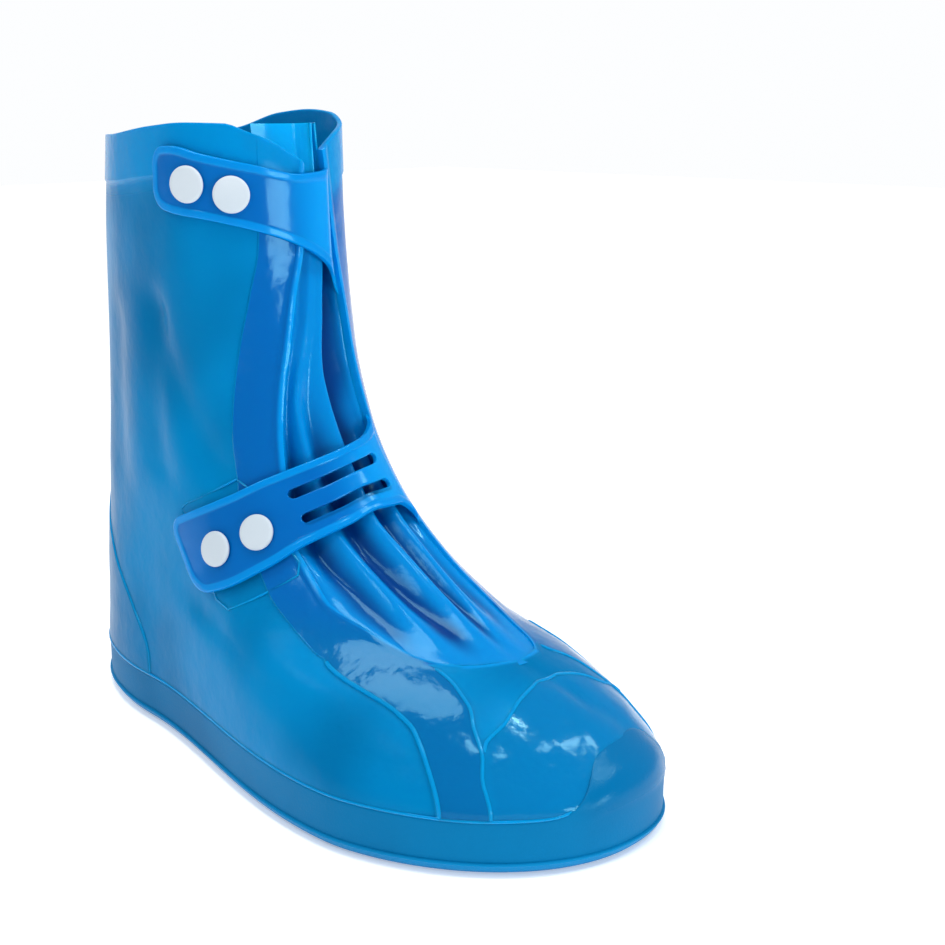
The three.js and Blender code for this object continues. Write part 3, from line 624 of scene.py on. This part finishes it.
def add_line(z, turn, radius=0.9, sink=0.45):
    """Adds a moulded line to the upper: a bead through places given by their height and turn."""
    z, turn = np.asarray(z, float), np.asarray(turn, float)
    normals = form_normal(z, turn)
    surface = form(z, turn) + normals * surface_height(z, turn)[:, None]
    made, its_faces = sweep(surface, normals, radius, sink)
    before = sum(map(len, points))
    faces.append([[i + before for i in f] for f in its_faces])
    points.append(made)


# The lines of the toe cap, the strips and the band, the foxing's top, the counter and the outline.
arc = np.linspace(-31, 31, 90)
add_line(toe_cap(np.abs(arc)), 180 + arc)
strip_z = np.linspace(60, FOXING_HEIGHT, 50)
for sign in (-1, 1):
    strip_at, band_edge = (lip_outer, band_outer) if sign < 0 else (lip_inner, band_inner)
    add_line(strip_z, 180 + sign * strip_at(strip_z))
    add_line(strip_z, 180 + sign * band_edge(strip_z), 1.0, 0.5)
for start, end in ((1, 164), (206, 359)):
    edge_turn = np.arange(start, end, 1.0)
    add_line(foxing_top(edge_turn) + 0.2, edge_turn, 0.6, 0.1)
counter_z = np.linspace(FOXING_HEIGHT, COUNTER_TOP - 3, 60)
add_line(counter_z, counter_half(counter_z), 0.6, 0.3)
add_line(counter_z, 360 - counter_half(counter_z), 0.6, 0.3)
emboss_turn = np.concatenate([np.linspace(a[0], b[0], 14) for a, b in zip(EMBOSS, EMBOSS[1:])])
emboss_z = np.concatenate([np.linspace(a[1], b[1], 14) for a, b in zip(EMBOSS, EMBOSS[1:])])
add_line(emboss_z, emboss_turn, 0.5, 0.15)

# Zones for the material: distances in millimetres, or shares. The inside of the wall has hem and lip
# only, and the lines have the lip's colour, which is a painted highlight.
FAR = 9
extra = sum(map(len, points[1:]))
band_value = np.minimum(to_band, np.where(row_z < 60.5, to_strip, 50))
foot_value = smooth(band_value / 0.6 + 0.5) * smooth((86 - row_z) / 34)
toe_value = on_toe_cap * (from_front < 60)
# A painted highlight along the opening's edge, weaker low down towards the opening's foot.
lip_highlight = to_opening + 1.3 * smooth((86 - row_z) / 20)
values = {
    "band": np.concatenate([band_value.ravel(), np.full(row_z.size + extra, -FAR)]),
    "hem": np.concatenate([to_hem.ravel(), to_hem.ravel(), np.full(extra, -FAR)]),
    "foot": np.concatenate([foot_value.ravel(), np.zeros(row_z.size + extra)]),
    "toe": np.concatenate([toe_value.ravel(), np.zeros(row_z.size + extra)]),
    "lip": np.concatenate([lip_highlight.ravel(), lip_highlight.ravel(), np.full(extra, LIP_MIDDLE)]),
}
all_faces = [f for part in faces for f in part]
add_mesh("boot_upper", np.concatenate(points), all_faces, upper_material, ["upper"], values)

# The foxing, whose top edge is rounded, and its bumper, which bulges over the toe
FOX_SHARES = (0, 0.1, 0.25, 0.4, 0.55, 0.7, 0.8, 0.88, 0.93, 0.96, 0.98, 0.992, 1.0)
FOX_ROUND, BUMPER_ROUND = 1.0, 0.3
BULGE, BULGE_RISE, BULGE_EDGE = 1.4, 8, 0.1
BULGE_TURN, BULGE_HALF, BULGE_FOOT, BULGE_FADE = BUMPER_TURN - 3, 19, 15, 8
ROUND_TURNS = np.arange(0, 360, 1.25)


def foxing():
    turn, share = np.meshgrid(ROUND_TURNS, FOX_SHARES)
    z = mix(UPPER_FOOT, foxing_top(turn), share)
    below_top = foxing_top(turn) - z
    bumper = np.exp(-(((turn - BULGE_TURN) / BULGE_HALF) ** 4)) * smooth((z - BULGE_FOOT) / BULGE_FADE)
    past_round = np.clip(1 - below_top / FOX_ROUND, 0, 1)
    edge = FOX_ROUND - np.sqrt(np.clip(1 - past_round**2, 0, 1))
    bulge = BULGE * smooth(below_top / BULGE_RISE) + BULGE_EDGE - BUMPER_ROUND * edge
    outer = offset(z, turn, mix(FOXING_PROUD - edge, bulge, bumper))
    inner = offset(z, turn, np.full(z.shape, FOXING_PROUD - FOXING_WALL))
    outer[0, :, 2] = inner[0, :, 2] = UPPER_FOOT
    fox_points, fox_faces = wall(outer.reshape(-1, 3), inner.reshape(-1, 3), ring_quads(*z.shape))
    add_mesh(
        "foxing_band", fox_points, fox_faces, foxing_material, ["foxing"],
        {"bumper": np.tile(bumper.ravel(), 2)},
    )


foxing()

# The outsole: rings from the floor up to the welt, by height and by reach past the upper's foot
SOLE_RINGS = [
    (0, -3.6), (0.35, -2.4), (1.0, -1.4), (2.0, -0.3), (3.0, 0.5), (4.0, 1.05), (4.7, 1.5), (5.1, 1.45),
    (5.32, 1.15), (5.4, 0.3),
]


def outsole():
    foot_z = np.full(len(ROUND_TURNS), UPPER_FOOT)
    foot = form(foot_z, ROUND_TURNS)
    ahead = form(foot_z, ROUND_TURNS + 0.5) - form(foot_z, ROUND_TURNS - 0.5)
    out = unit(np.stack([ahead[:, 1], -ahead[:, 0], 0 * ahead[:, 0]], 1))
    rings = []
    for z, reach in SOLE_RINGS:
        ring = foot + out * reach
        ring[:, 2] = z
        rings.append(ring)
    count = len(ROUND_TURNS)
    sole_faces = ring_quads(len(rings), count).tolist()
    half = count // 2
    top = (len(rings) - 1) * count
    for i in range(1, half - 1):
        a, b, c, d = i, i + 1, (count - i - 1) % count, (count - i) % count
        sole_faces.append([d, c, b, a])
        sole_faces.append([top + a, top + b, top + c, top + d])
    sole_faces += [[0, count - 1, 1], [top, top + 1, top + count - 1]]
    sole_faces += [[half - 1, half + 1, half], [top + half - 1, top + half, top + half + 1]]
    add_mesh("sole_plate", np.concatenate(rings), sole_faces, sole_material, ["outsole"])


outsole()

# The pleated gusset. Between its laps behind the upper run valleys and ridges by turns. The tables
# give their turns at each height, and how deep they lie: first the lap's end and the opening's outer
# edge, then each valley and ridge, then the opening's inner edge.
PLEAT_TURNS = [
    (59, 146, 156, 164, 173, 177, 182, 188), (67, 147, 155.6, 164, 173, 177.5, 183, 190),
    (77, 146, 155, 161.5, 174, 179.5, 185.5, 193), (90, 143, 153.6, 160.5, 173.7, 181, 188.3, 195),
    (100, 143.5, 153, 162, 172.5, 181, 189.5, 196.5), (115, 149, 156.5, 165, 175.5, 184, 192, 198),
    (131, 154.5, 159.8, 167.5, 177, 186.5, 194, 198.5), (145, 158.8, 161.8, 169, 177.5, 185, 192, 197.5),
    (155, 162.5, 166, 171.5, 178, 185.5, 192, 197.5), (165, 167, 171, 175, 180, 186.5, 192, 197),
    (181, 173.5, 177.5, 181, 184.5, 189.5, 193.5, 197), (207, 180, 183, 186, 189, 191.6, 193, 194.2),
    (228, 181, 183, 185, 187, 189.2, 190.3, 191.3), (260, 181, 183, 184.7, 186, 187.2, 187.7, 188),
]
PLEAT_DEPTHS = [
    (59, 0.1, 0, 0, 0, 0, 0, 0, 0, 0, 0),
    (67, 0.6, 0.1, 0.9, 0, 1.3, 0, 1.0, 0, 0.6, 0.1),
    (77, 1.5, 0.5, 3.2, 0.2, 4.0, 0, 3.4, 0.1, 2.4, 0.5),
    (90, 2.2, 0.9, 5.5, 0.8, 6.5, 0.3, 5.5, 0.6, 3.2, 0.9),
    (100, 2.6, 1.2, 6.5, 1.0, 7.5, 0.5, 6.5, 1.0, 4.0, 1.2),
    (115, 3, 1.5, 6.5, 1.0, 7.5, 0.6, 8, 2, 4.5, 1.6),
    (131, 3.4, 1.7, 5.5, 1.0, 6.5, 0.6, 10, 5.5, 4.2, 1.8),
    (145, 3.6, 1.8, 4.0, 1.5, 4.6, 0.6, 12, 8, 5.2, 1.8),
    (155, 3.8, 1.9, 3.8, 1.8, 3.0, 0.7, 13, 9, 5.5, 1.8),
    (165, 4.2, 2.0, 3.8, 2.2, 2.2, 0.8, 14, 9.5, 5.5, 1.8),
    (181, 4.6, 2.4, 4.2, 1.8, 1.6, 0.8, 14, 9.5, 5.5, 1.8),
    (207, 5.5, 3.6, 4.2, 2.6, 1.8, 0.8, 14, 10, 6, 1.8),
    (260, 4.5, 6.5, 6.0, 4.6, 2.6, 0.8, 13, 10, 6, 1.8),
]
# How many degrees the outer lap reaches behind the upper at a height, and the inner one everywhere.
PLEAT_LAP = [(59, 1.5), (130, 1.8), (170, 4), (207, 12), (260, 21)]
INNER_LAP, INNER_LAP_DEPTH = 1.2, 0.4
PLEAT_STEPS = (14, 16, 18, 18, 20, 22, 18, 14, 14, 6)
PLEAT_FOOT, PLEAT_PROUD, PLEAT_WALL = 59.75, 0.25, 1.0
LEAST_STEP = 0.15
# For the colour, which is painted light and shade: the ridges are painted light and the valleys painted
# shade.
# Past the ridge with this number the painted light gathers at the crests, so the valleys get deeper painted
# shade, higher up more than lower down, and near the rim it is painted light everywhere. Powers and
# amounts, then from which height, over how far.
CREST, LEAST_DEPTH = 3, 1.5
GATHERED, GATHERED_FROM, GATHERED_OVER = 1.4, 140, 20
RIM_LIGHT, RIM_LIGHT_FROM, RIM_LIGHT_OVER = 1.4, 222, 16
GUSSET_Z = np.concatenate([
    np.linspace(58.6, 66, 14), np.linspace(66.6, 120, 70), np.linspace(121, 254, 100),
])


def gusset():
    """The gusset's outer points, and for its painted light and shade how near each one is to the top of a
    pleat.
    """
    turns_at, depths_at, lap_at = curves(PLEAT_TURNS), curves(PLEAT_DEPTHS), curves(PLEAT_LAP)[0]
    rows, pleat_shading = [], []
    for z in GUSSET_Z:
        foot = max(z, PLEAT_FOOT)
        first, last = 180 - edge_outer(foot), 180 + edge_inner(foot)
        middle = [float(at(z)) for at in turns_at]
        knots = [first - lap_at(z), first, *middle, last, last + INNER_LAP]
        for i in range(2, len(knots)):
            knots[i] = max(knots[i], knots[i - 1] + LEAST_STEP)
        for i in range(len(knots) - 2, 0, -1):
            knots[i] = min(knots[i], knots[i + 1] - LEAST_STEP)
        depths = [float(at(z)) for at in depths_at]
        depths.append(depths[-1] + INNER_LAP_DEPTH)
        steps = [mix(a, b, np.arange(n) / n) for a, b, n in zip(knots, knots[1:], PLEAT_STEPS)]
        turn = np.concatenate([*steps, knots[-1:]])
        depth = curve(knots, depths)(turn)
        high = np.full(turn.shape, z)
        inward = -unit(form_normal(high, turn) + form_normal(z, 180.0))
        rows.append(offset(high, turn, np.full(turn.shape, PLEAT_PROUD)) + inward * depth[:, None])
        height = 1 - depth / max(max(depths[2:9]), LEAST_DEPTH)
        power = 1 + GATHERED * smooth((z - GATHERED_FROM) / GATHERED_OVER)
        past_crest = np.clip(height, 0, 1) ** power
        height = np.where(turn > middle[CREST], past_crest, height)
        pleat_shading.append(height + RIM_LIGHT * smooth((z - RIM_LIGHT_FROM) / RIM_LIGHT_OVER))
    return np.array(rows), np.array(pleat_shading)


gusset_out, gusset_shading = gusset()
gusset_in = gusset_out - grid_normals(gusset_out) * PLEAT_WALL
quads = grid_quads(*gusset_shading.shape)
gusset_points, gusset_faces = wall(gusset_out.reshape(-1, 3), gusset_in.reshape(-1, 3), quads)
# The gusset carries its painted light and shade, lighter on the ridges and darker in the valleys, as an
# attribute.
add_mesh(
    "pleated_gusset", gusset_points, gusset_faces, gusset_material, ["front_gusset"],
    {"pleat_shading": np.tile(gusset_shading.ravel(), 2)}, sharp=60,
)

# Straps: a thicker rim runs round each. The root sinks into the upper, to these heights of its outer
# and inner side on the form. Edges longer than the last number join two stretches of the border.
EDGE_RADIUS = 0.7
STRAP_RIM, STRAP_RIM_WIDTH, STRAP_RIM_FALL = 0.35, 3.4, 0.7
HOLE_EASE = 0.25
ROOT_HIGH, ROOT_LOW = -0.4, -1.0
LONGEST_EDGE = 12


def strap_place(table, share, across):
    """The turn and height at a share of a strap's length, from its free end, and of its width."""
    low, high = curves(table)
    first, final = table[0][0], table[-1][0]
    turn = mix(first, final, share)
    from_end = (turn - first) * MM_PER_DEGREE
    corner = np.clip(STRAP_CORNER - from_end, 0, STRAP_CORNER)
    inset = STRAP_CORNER - np.sqrt(STRAP_CORNER**2 - corner**2)
    return turn, mix(low(turn) + inset, high(turn) - inset, across)


def strap(name, table, shares, acrosses, skip, root_share, replaces, hole_rows=(), hole_span=(0, 0)):
    """Makes a strap. Each of its rows lies at a share of the width, or where a function of the shares
    of the length puts it. It sinks in between the two shares of root_share. The edges of hole_rows are
    eased within hole_span."""
    by_hole = (shares >= hole_span[0]) & (shares <= hole_span[1])
    share, _ = np.meshgrid(shares, np.arange(len(acrosses)))
    across = np.array([row(shares) if callable(row) else np.full(len(shares), row) for row in acrosses])
    turn, z = strap_place(table, share, across)
    middle = form(z, turn)
    border = np.concatenate([middle[0], middle[-1], middle[:, 0]])
    keep = np.linalg.norm(border[1:] - border[:-1], axis=1) < LONGEST_EDGE
    dense = np.concatenate([mix(border[:-1][keep], border[1:][keep], t) for t in np.linspace(0, 1, 5)])
    to_edge = distance_to(middle, dense)
    past_round = np.clip(EDGE_RADIUS - to_edge, 0, EDGE_RADIUS)
    rounded = EDGE_RADIUS - np.sqrt(np.clip(EDGE_RADIUS**2 - past_round**2, 0, None))
    lip = STRAP_RIM * smooth((STRAP_RIM_WIDTH - to_edge) / STRAP_RIM_FALL)
    for row in hole_rows:
        rounded[row] = np.maximum(rounded[row], HOLE_EASE * by_hole)
    root = smooth((share - root_share[0]) / (root_share[1] - root_share[0]))
    high = mix(STRAP_LIFT + STRAP_WALL + lip - rounded, ROOT_HIGH, root)
    low = mix(STRAP_LIFT, ROOT_LOW, root)
    outer, inner = offset(z, turn, high), offset(z, turn, low)
    quads = grid_quads(len(acrosses), len(shares), skip)
    used = np.unique(quads)
    lookup = np.full(share.size, -1)
    lookup[used] = np.arange(len(used))
    points, faces = wall(outer.reshape(-1, 3)[used], inner.reshape(-1, 3)[used], lookup[quads])
    # These carry the painted highlight along the strap's rim and the painted light towards its root.
    rim_highlight = mix(to_edge, FAR, root).ravel()[used]
    values = {"rim": np.tile(rim_highlight, 2), "along": np.tile(share.ravel()[used], 2)}
    return add_mesh(name, points, faces, strap_material, replaces, values, sharp=50)


def end_shares(length):
    """Shares close together at the free end and even after it; length is in millimetres."""
    near = np.array([0, 0.1, 0.25, 0.45, 0.7, 1.0, 1.4, 1.9, 2.5, 3.2, 4.0, 5.0, 6.0, 7.0]) / length
    return np.concatenate([near, np.linspace(near[-1], 1, 110)[1:]])


def edge_acrosses(width):
    """Shares of a strap's width, close together at both edges."""
    near = np.array([0, 0.12, 0.3, 0.55, 0.85, 1.3, 2.0, 2.6, 2.9, 3.2, 3.5, 3.9]) / width
    return np.concatenate([near, np.linspace(near[-1], 1 - near[-1], 18)[1:-1], 1 - near[::-1]])


# The straps' upright heights, for the spacing of their rows.
TOP_UPRIGHT, ANKLE_UPRIGHT = 25, 26
top_shares = end_shares((TOP_STRAP[-1][0] - TOP_STRAP[0][0]) * MM_PER_DEGREE)
strap("rim_strap", TOP_STRAP, top_shares, edge_acrosses(TOP_UPRIGHT), None, (0.8, 0.9), ["top_strap"])

# The ankle strap's columns lie close together at its free end and at both ends of the slots.
SLOT_ROUND = 0.02
ankle_first, ankle_span = ANKLE_STRAP[0][0], ANKLE_STRAP[-1][0] - ANKLE_STRAP[0][0]
slot_from, slot_to = (SLOT_FROM - ankle_first) / ankle_span, (SLOT_TO - ankle_first) / ankle_span
ankle_end = end_shares(ankle_span * MM_PER_DEGREE)
near_slot = SLOT_ROUND * np.array([0, 0.04, 0.12, 0.25, 0.45, 0.7, 1.0])
column_groups = [
    ankle_end[ankle_end < slot_from - 0.01],
    slot_from - np.array([0.006, 0.003]),
    slot_from + near_slot,
    np.linspace(slot_from + SLOT_ROUND, slot_to - SLOT_ROUND, 40),
    slot_to - near_slot[::-1],
    slot_to + np.array([0.003, 0.006]),
    np.linspace(slot_to + 0.012, 1, 26),
]
ankle_shares = np.unique(np.round(np.concatenate(column_groups), 6))


def slot_edge(centre, side, away=0.0):
    """A row along one edge of a slot, or a share of the width away from it."""

    def row(shares):
        into = np.clip(np.minimum(shares - slot_from, slot_to - shares) / SLOT_ROUND, 0, 1)
        return centre + side * (SLOT_HALF * np.sqrt(1 - (1 - into) ** 2) + away)

    return row


hole_bands = []
edges = edge_acrosses(ANKLE_UPRIGHT)
acrosses = [e for e in edges if e < 0.16] + [0.19, 0.235]
for centre in SLOT_ROWS:
    acrosses += [slot_edge(centre, -1, 0.03), slot_edge(centre, -1, 0.012)]
    hole_bands.append(len(acrosses))
    acrosses += [slot_edge(centre, -1), slot_edge(centre, 1)]
    acrosses += [slot_edge(centre, 1, 0.012), slot_edge(centre, 1, 0.03)]
    if centre == SLOT_ROWS[0]:
        acrosses += [0.5, 0.52]
acrosses += [0.79] + [e for e in edges if e > 0.84]


def in_slot(r, c):
    """Whether the quads between these rows and columns lie in a slot."""
    after = ankle_shares[np.minimum(c + 1, len(ankle_shares) - 1)]
    return np.isin(r, hole_bands) & (ankle_shares[c] >= slot_from - 1e-6) & (after <= slot_to + 1e-6)


strap(
    "instep_strap", ANKLE_STRAP, ankle_shares, acrosses, in_slot, (0.86, 0.935), ["ankle_strap"],
    hole_rows=[row + k for row in hole_bands for k in (0, 1)], hole_span=(slot_from, slot_to),
)

# Snaps: the radius and height of each ring of a cap, from its underside up
CAP_SEGMENTS = 64
CAP_PROFILE = [
    (0.0, 0.0), (6.6, 0.0), (6.95, 0.12), (7.1, 0.4), (7.1, 0.9), (7.03, 1.15), (6.8, 1.38), (6.45, 1.55),
    (6.0, 1.65), (5.0, 1.74), (3.0, 1.85), (1.2, 1.89), (0.0, 1.9),
]


def lathe(profile, segments):
    """Points and faces of a profile turned round the z axis."""
    angle = np.arange(segments) * 2 * np.pi / segments
    points, faces, rings = [], [], []
    for radius, height in profile:
        if radius == 0:
            rings.append([len(points)] * segments)
            points.append((0, 0, height))
        else:
            rings.append(list(range(len(points), len(points) + segments)))
            points += [(radius * np.cos(a), radius * np.sin(a), height) for a in angle]
    for low, high in zip(rings, rings[1:]):
        for i in range(segments):
            j = (i + 1) % segments
            face = list(dict.fromkeys([low[i], low[j], high[j], high[i]]))
            faces.append(face)
    return np.array(points), faces


for name, table, turn, across in SNAPS:
    share = (turn - table[0][0]) / (table[-1][0] - table[0][0])
    turn, z = strap_place(table, np.array(share), across)
    normal = form_normal(z, turn)
    cap, cap_faces = lathe(CAP_PROFILE, CAP_SEGMENTS)
    side = unit(np.cross([0, 0, 1.0], normal))
    basis = np.stack([side, np.cross(normal, side), normal])
    foot = form(z, turn) + normal * CAP_LIFT
    cap = cap @ basis + foot
    add_mesh(f"{name}_disc", cap, cap_faces, snap_material, [f"{name}_cap"], sharp=60)
# The posts keep their CAD solids, in the snaps' plastic.
for name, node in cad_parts.items():
    if name.endswith("_post"):
        for material_slot in node.material_slots:
            material_slot.material = snap_material

# Floor, light and camera, in metres
FLOOR_HALF, FLOOR_WHITE, FLOOR_GLOW = 4, 0.94, 0.3
scene = bpy.context.scene
scene.view_settings.view_transform = "Standard"
floor_mesh = bpy.data.meshes.new("floor")
corners = [(x * FLOOR_HALF, y * FLOOR_HALF, 0) for x, y in ((-1, -1), (1, -1), (1, 1), (-1, 1))]
floor_mesh.from_pydata(corners, [], [(0, 1, 2, 3)])
floor = bpy.data.objects.new("floor", floor_mesh)
floor_material = bpy.data.materials.new("floor")
floor_material.use_nodes = True
floor_shader = floor_material.node_tree.nodes["Principled BSDF"]
floor_shader.inputs["Base Color"].default_value = (FLOOR_WHITE, FLOOR_WHITE, FLOOR_WHITE, 1)
floor_shader.inputs["Roughness"].default_value = 0.9
floor_shader.inputs["Specular IOR Level"].default_value = 0.1
floor_shader.inputs["Emission Color"].default_value = (1, 1, 1, 1)
floor_shader.inputs["Emission Strength"].default_value = FLOOR_GLOW
floor_mesh.materials.append(floor_material)
scene.collection.objects.link(floor)

# The sky is white behind the boot and dimmer on the camera's side: it fades by the cosine of the angle
# to the camera's view.
SKY_FADE = {"From Min": 0.66, "From Max": 0.91, "To Min": 0.45, "To Max": 1.0}
VIEW = (0.693, 0.677, -0.247)
world = bpy.data.worlds.new("studio")
world.use_nodes = True
nodes, links = world.node_tree.nodes, world.node_tree.links
sky = nodes["Background"]
sky.inputs["Color"].default_value = (0.98, 0.99, 1.0, 1)
way = nodes.new("ShaderNodeVectorMath")
way.operation = "DOT_PRODUCT"
way.inputs[1].default_value = VIEW
links.new(nodes.new("ShaderNodeTexCoord").outputs["Generated"], way.inputs[0])
fade = nodes.new("ShaderNodeMapRange")
fade.interpolation_type = "SMOOTHSTEP"
for key, value in SKY_FADE.items():
    fade.inputs[key].default_value = value
links.new(way.outputs["Value"], fade.inputs["Value"])
links.new(fade.outputs["Result"], sky.inputs["Strength"])
scene.world = world

LIGHT_DISTANCE = 1.2
LIGHT_TARGET = Vector((0, 0, 0.12))
POWER_PER_GLOW = 3.1416
SUN_STRENGTH, SUN_DEGREES, SUN_FROM = 1.15, 24, Vector((-0.04, 0.16, 0.98))
# Each softbox: its direction from the boot, width, height and brightness.
SOFTBOXES = [
    ((0.06, -1.0, 0.07), 0.5, 0.2, 14), ((-0.52, 0.44, 0.73), 0.26, 0.26, 7),
    ((-0.69, -0.06, 0.72), 0.2, 0.3, 7), ((0.24, -0.5, 0.83), 0.2, 0.2, 14),
    ((-0.21, -0.35, 0.91), 0.16, 0.2, 16), ((0.19, -0.27, 0.94), 0.07, 0.07, 70),
    ((0.47, -0.5, 0.74), 0.1, 0.24, 18),
]


def softbox(direction, width, height, glow):
    """A light panel that faces the boot from a direction; glow is its brightness."""
    data = bpy.data.lights.new("softbox", "AREA")
    data.shape, data.size, data.size_y = "RECTANGLE", width, height
    data.energy = glow * width * height * POWER_PER_GLOW
    light = bpy.data.objects.new("softbox", data)
    away = Vector(direction).normalized()
    light.location = LIGHT_TARGET + away * LIGHT_DISTANCE
    light.rotation_euler = away.to_track_quat("Z", "Y").to_euler()
    scene.collection.objects.link(light)


sun_data = bpy.data.lights.new("overhead", "SUN")
sun_data.energy, sun_data.angle = SUN_STRENGTH, np.radians(SUN_DEGREES)
sun = bpy.data.objects.new("overhead", sun_data)
sun.rotation_euler = SUN_FROM.to_track_quat("Z", "Y").to_euler()
scene.collection.objects.link(sun)
for softbox_measures in SOFTBOXES:
    softbox(*softbox_measures)

CAMERA_PLACE = Vector((-0.3652, -0.4390, 0.2616))
CAMERA_BACK = Vector((-0.6931, -0.6771, 0.2473)).normalized()
LENS, SENSOR_WIDTH = 55.21, 36
right = Vector((0, 0, 1)).cross(CAMERA_BACK).normalized()
up = CAMERA_BACK.cross(right)
camera_data = bpy.data.cameras.new("camera")
camera_data.lens = LENS
camera_data.sensor_width = SENSOR_WIDTH
camera_data.clip_start = 0.01
camera = bpy.data.objects.new("camera", camera_data)
turned = Matrix((right, up, CAMERA_BACK)).transposed().to_4x4()
camera.matrix_world = Matrix.Translation(CAMERA_PLACE) @ turned
scene.collection.objects.link(camera)
scene.camera = camera
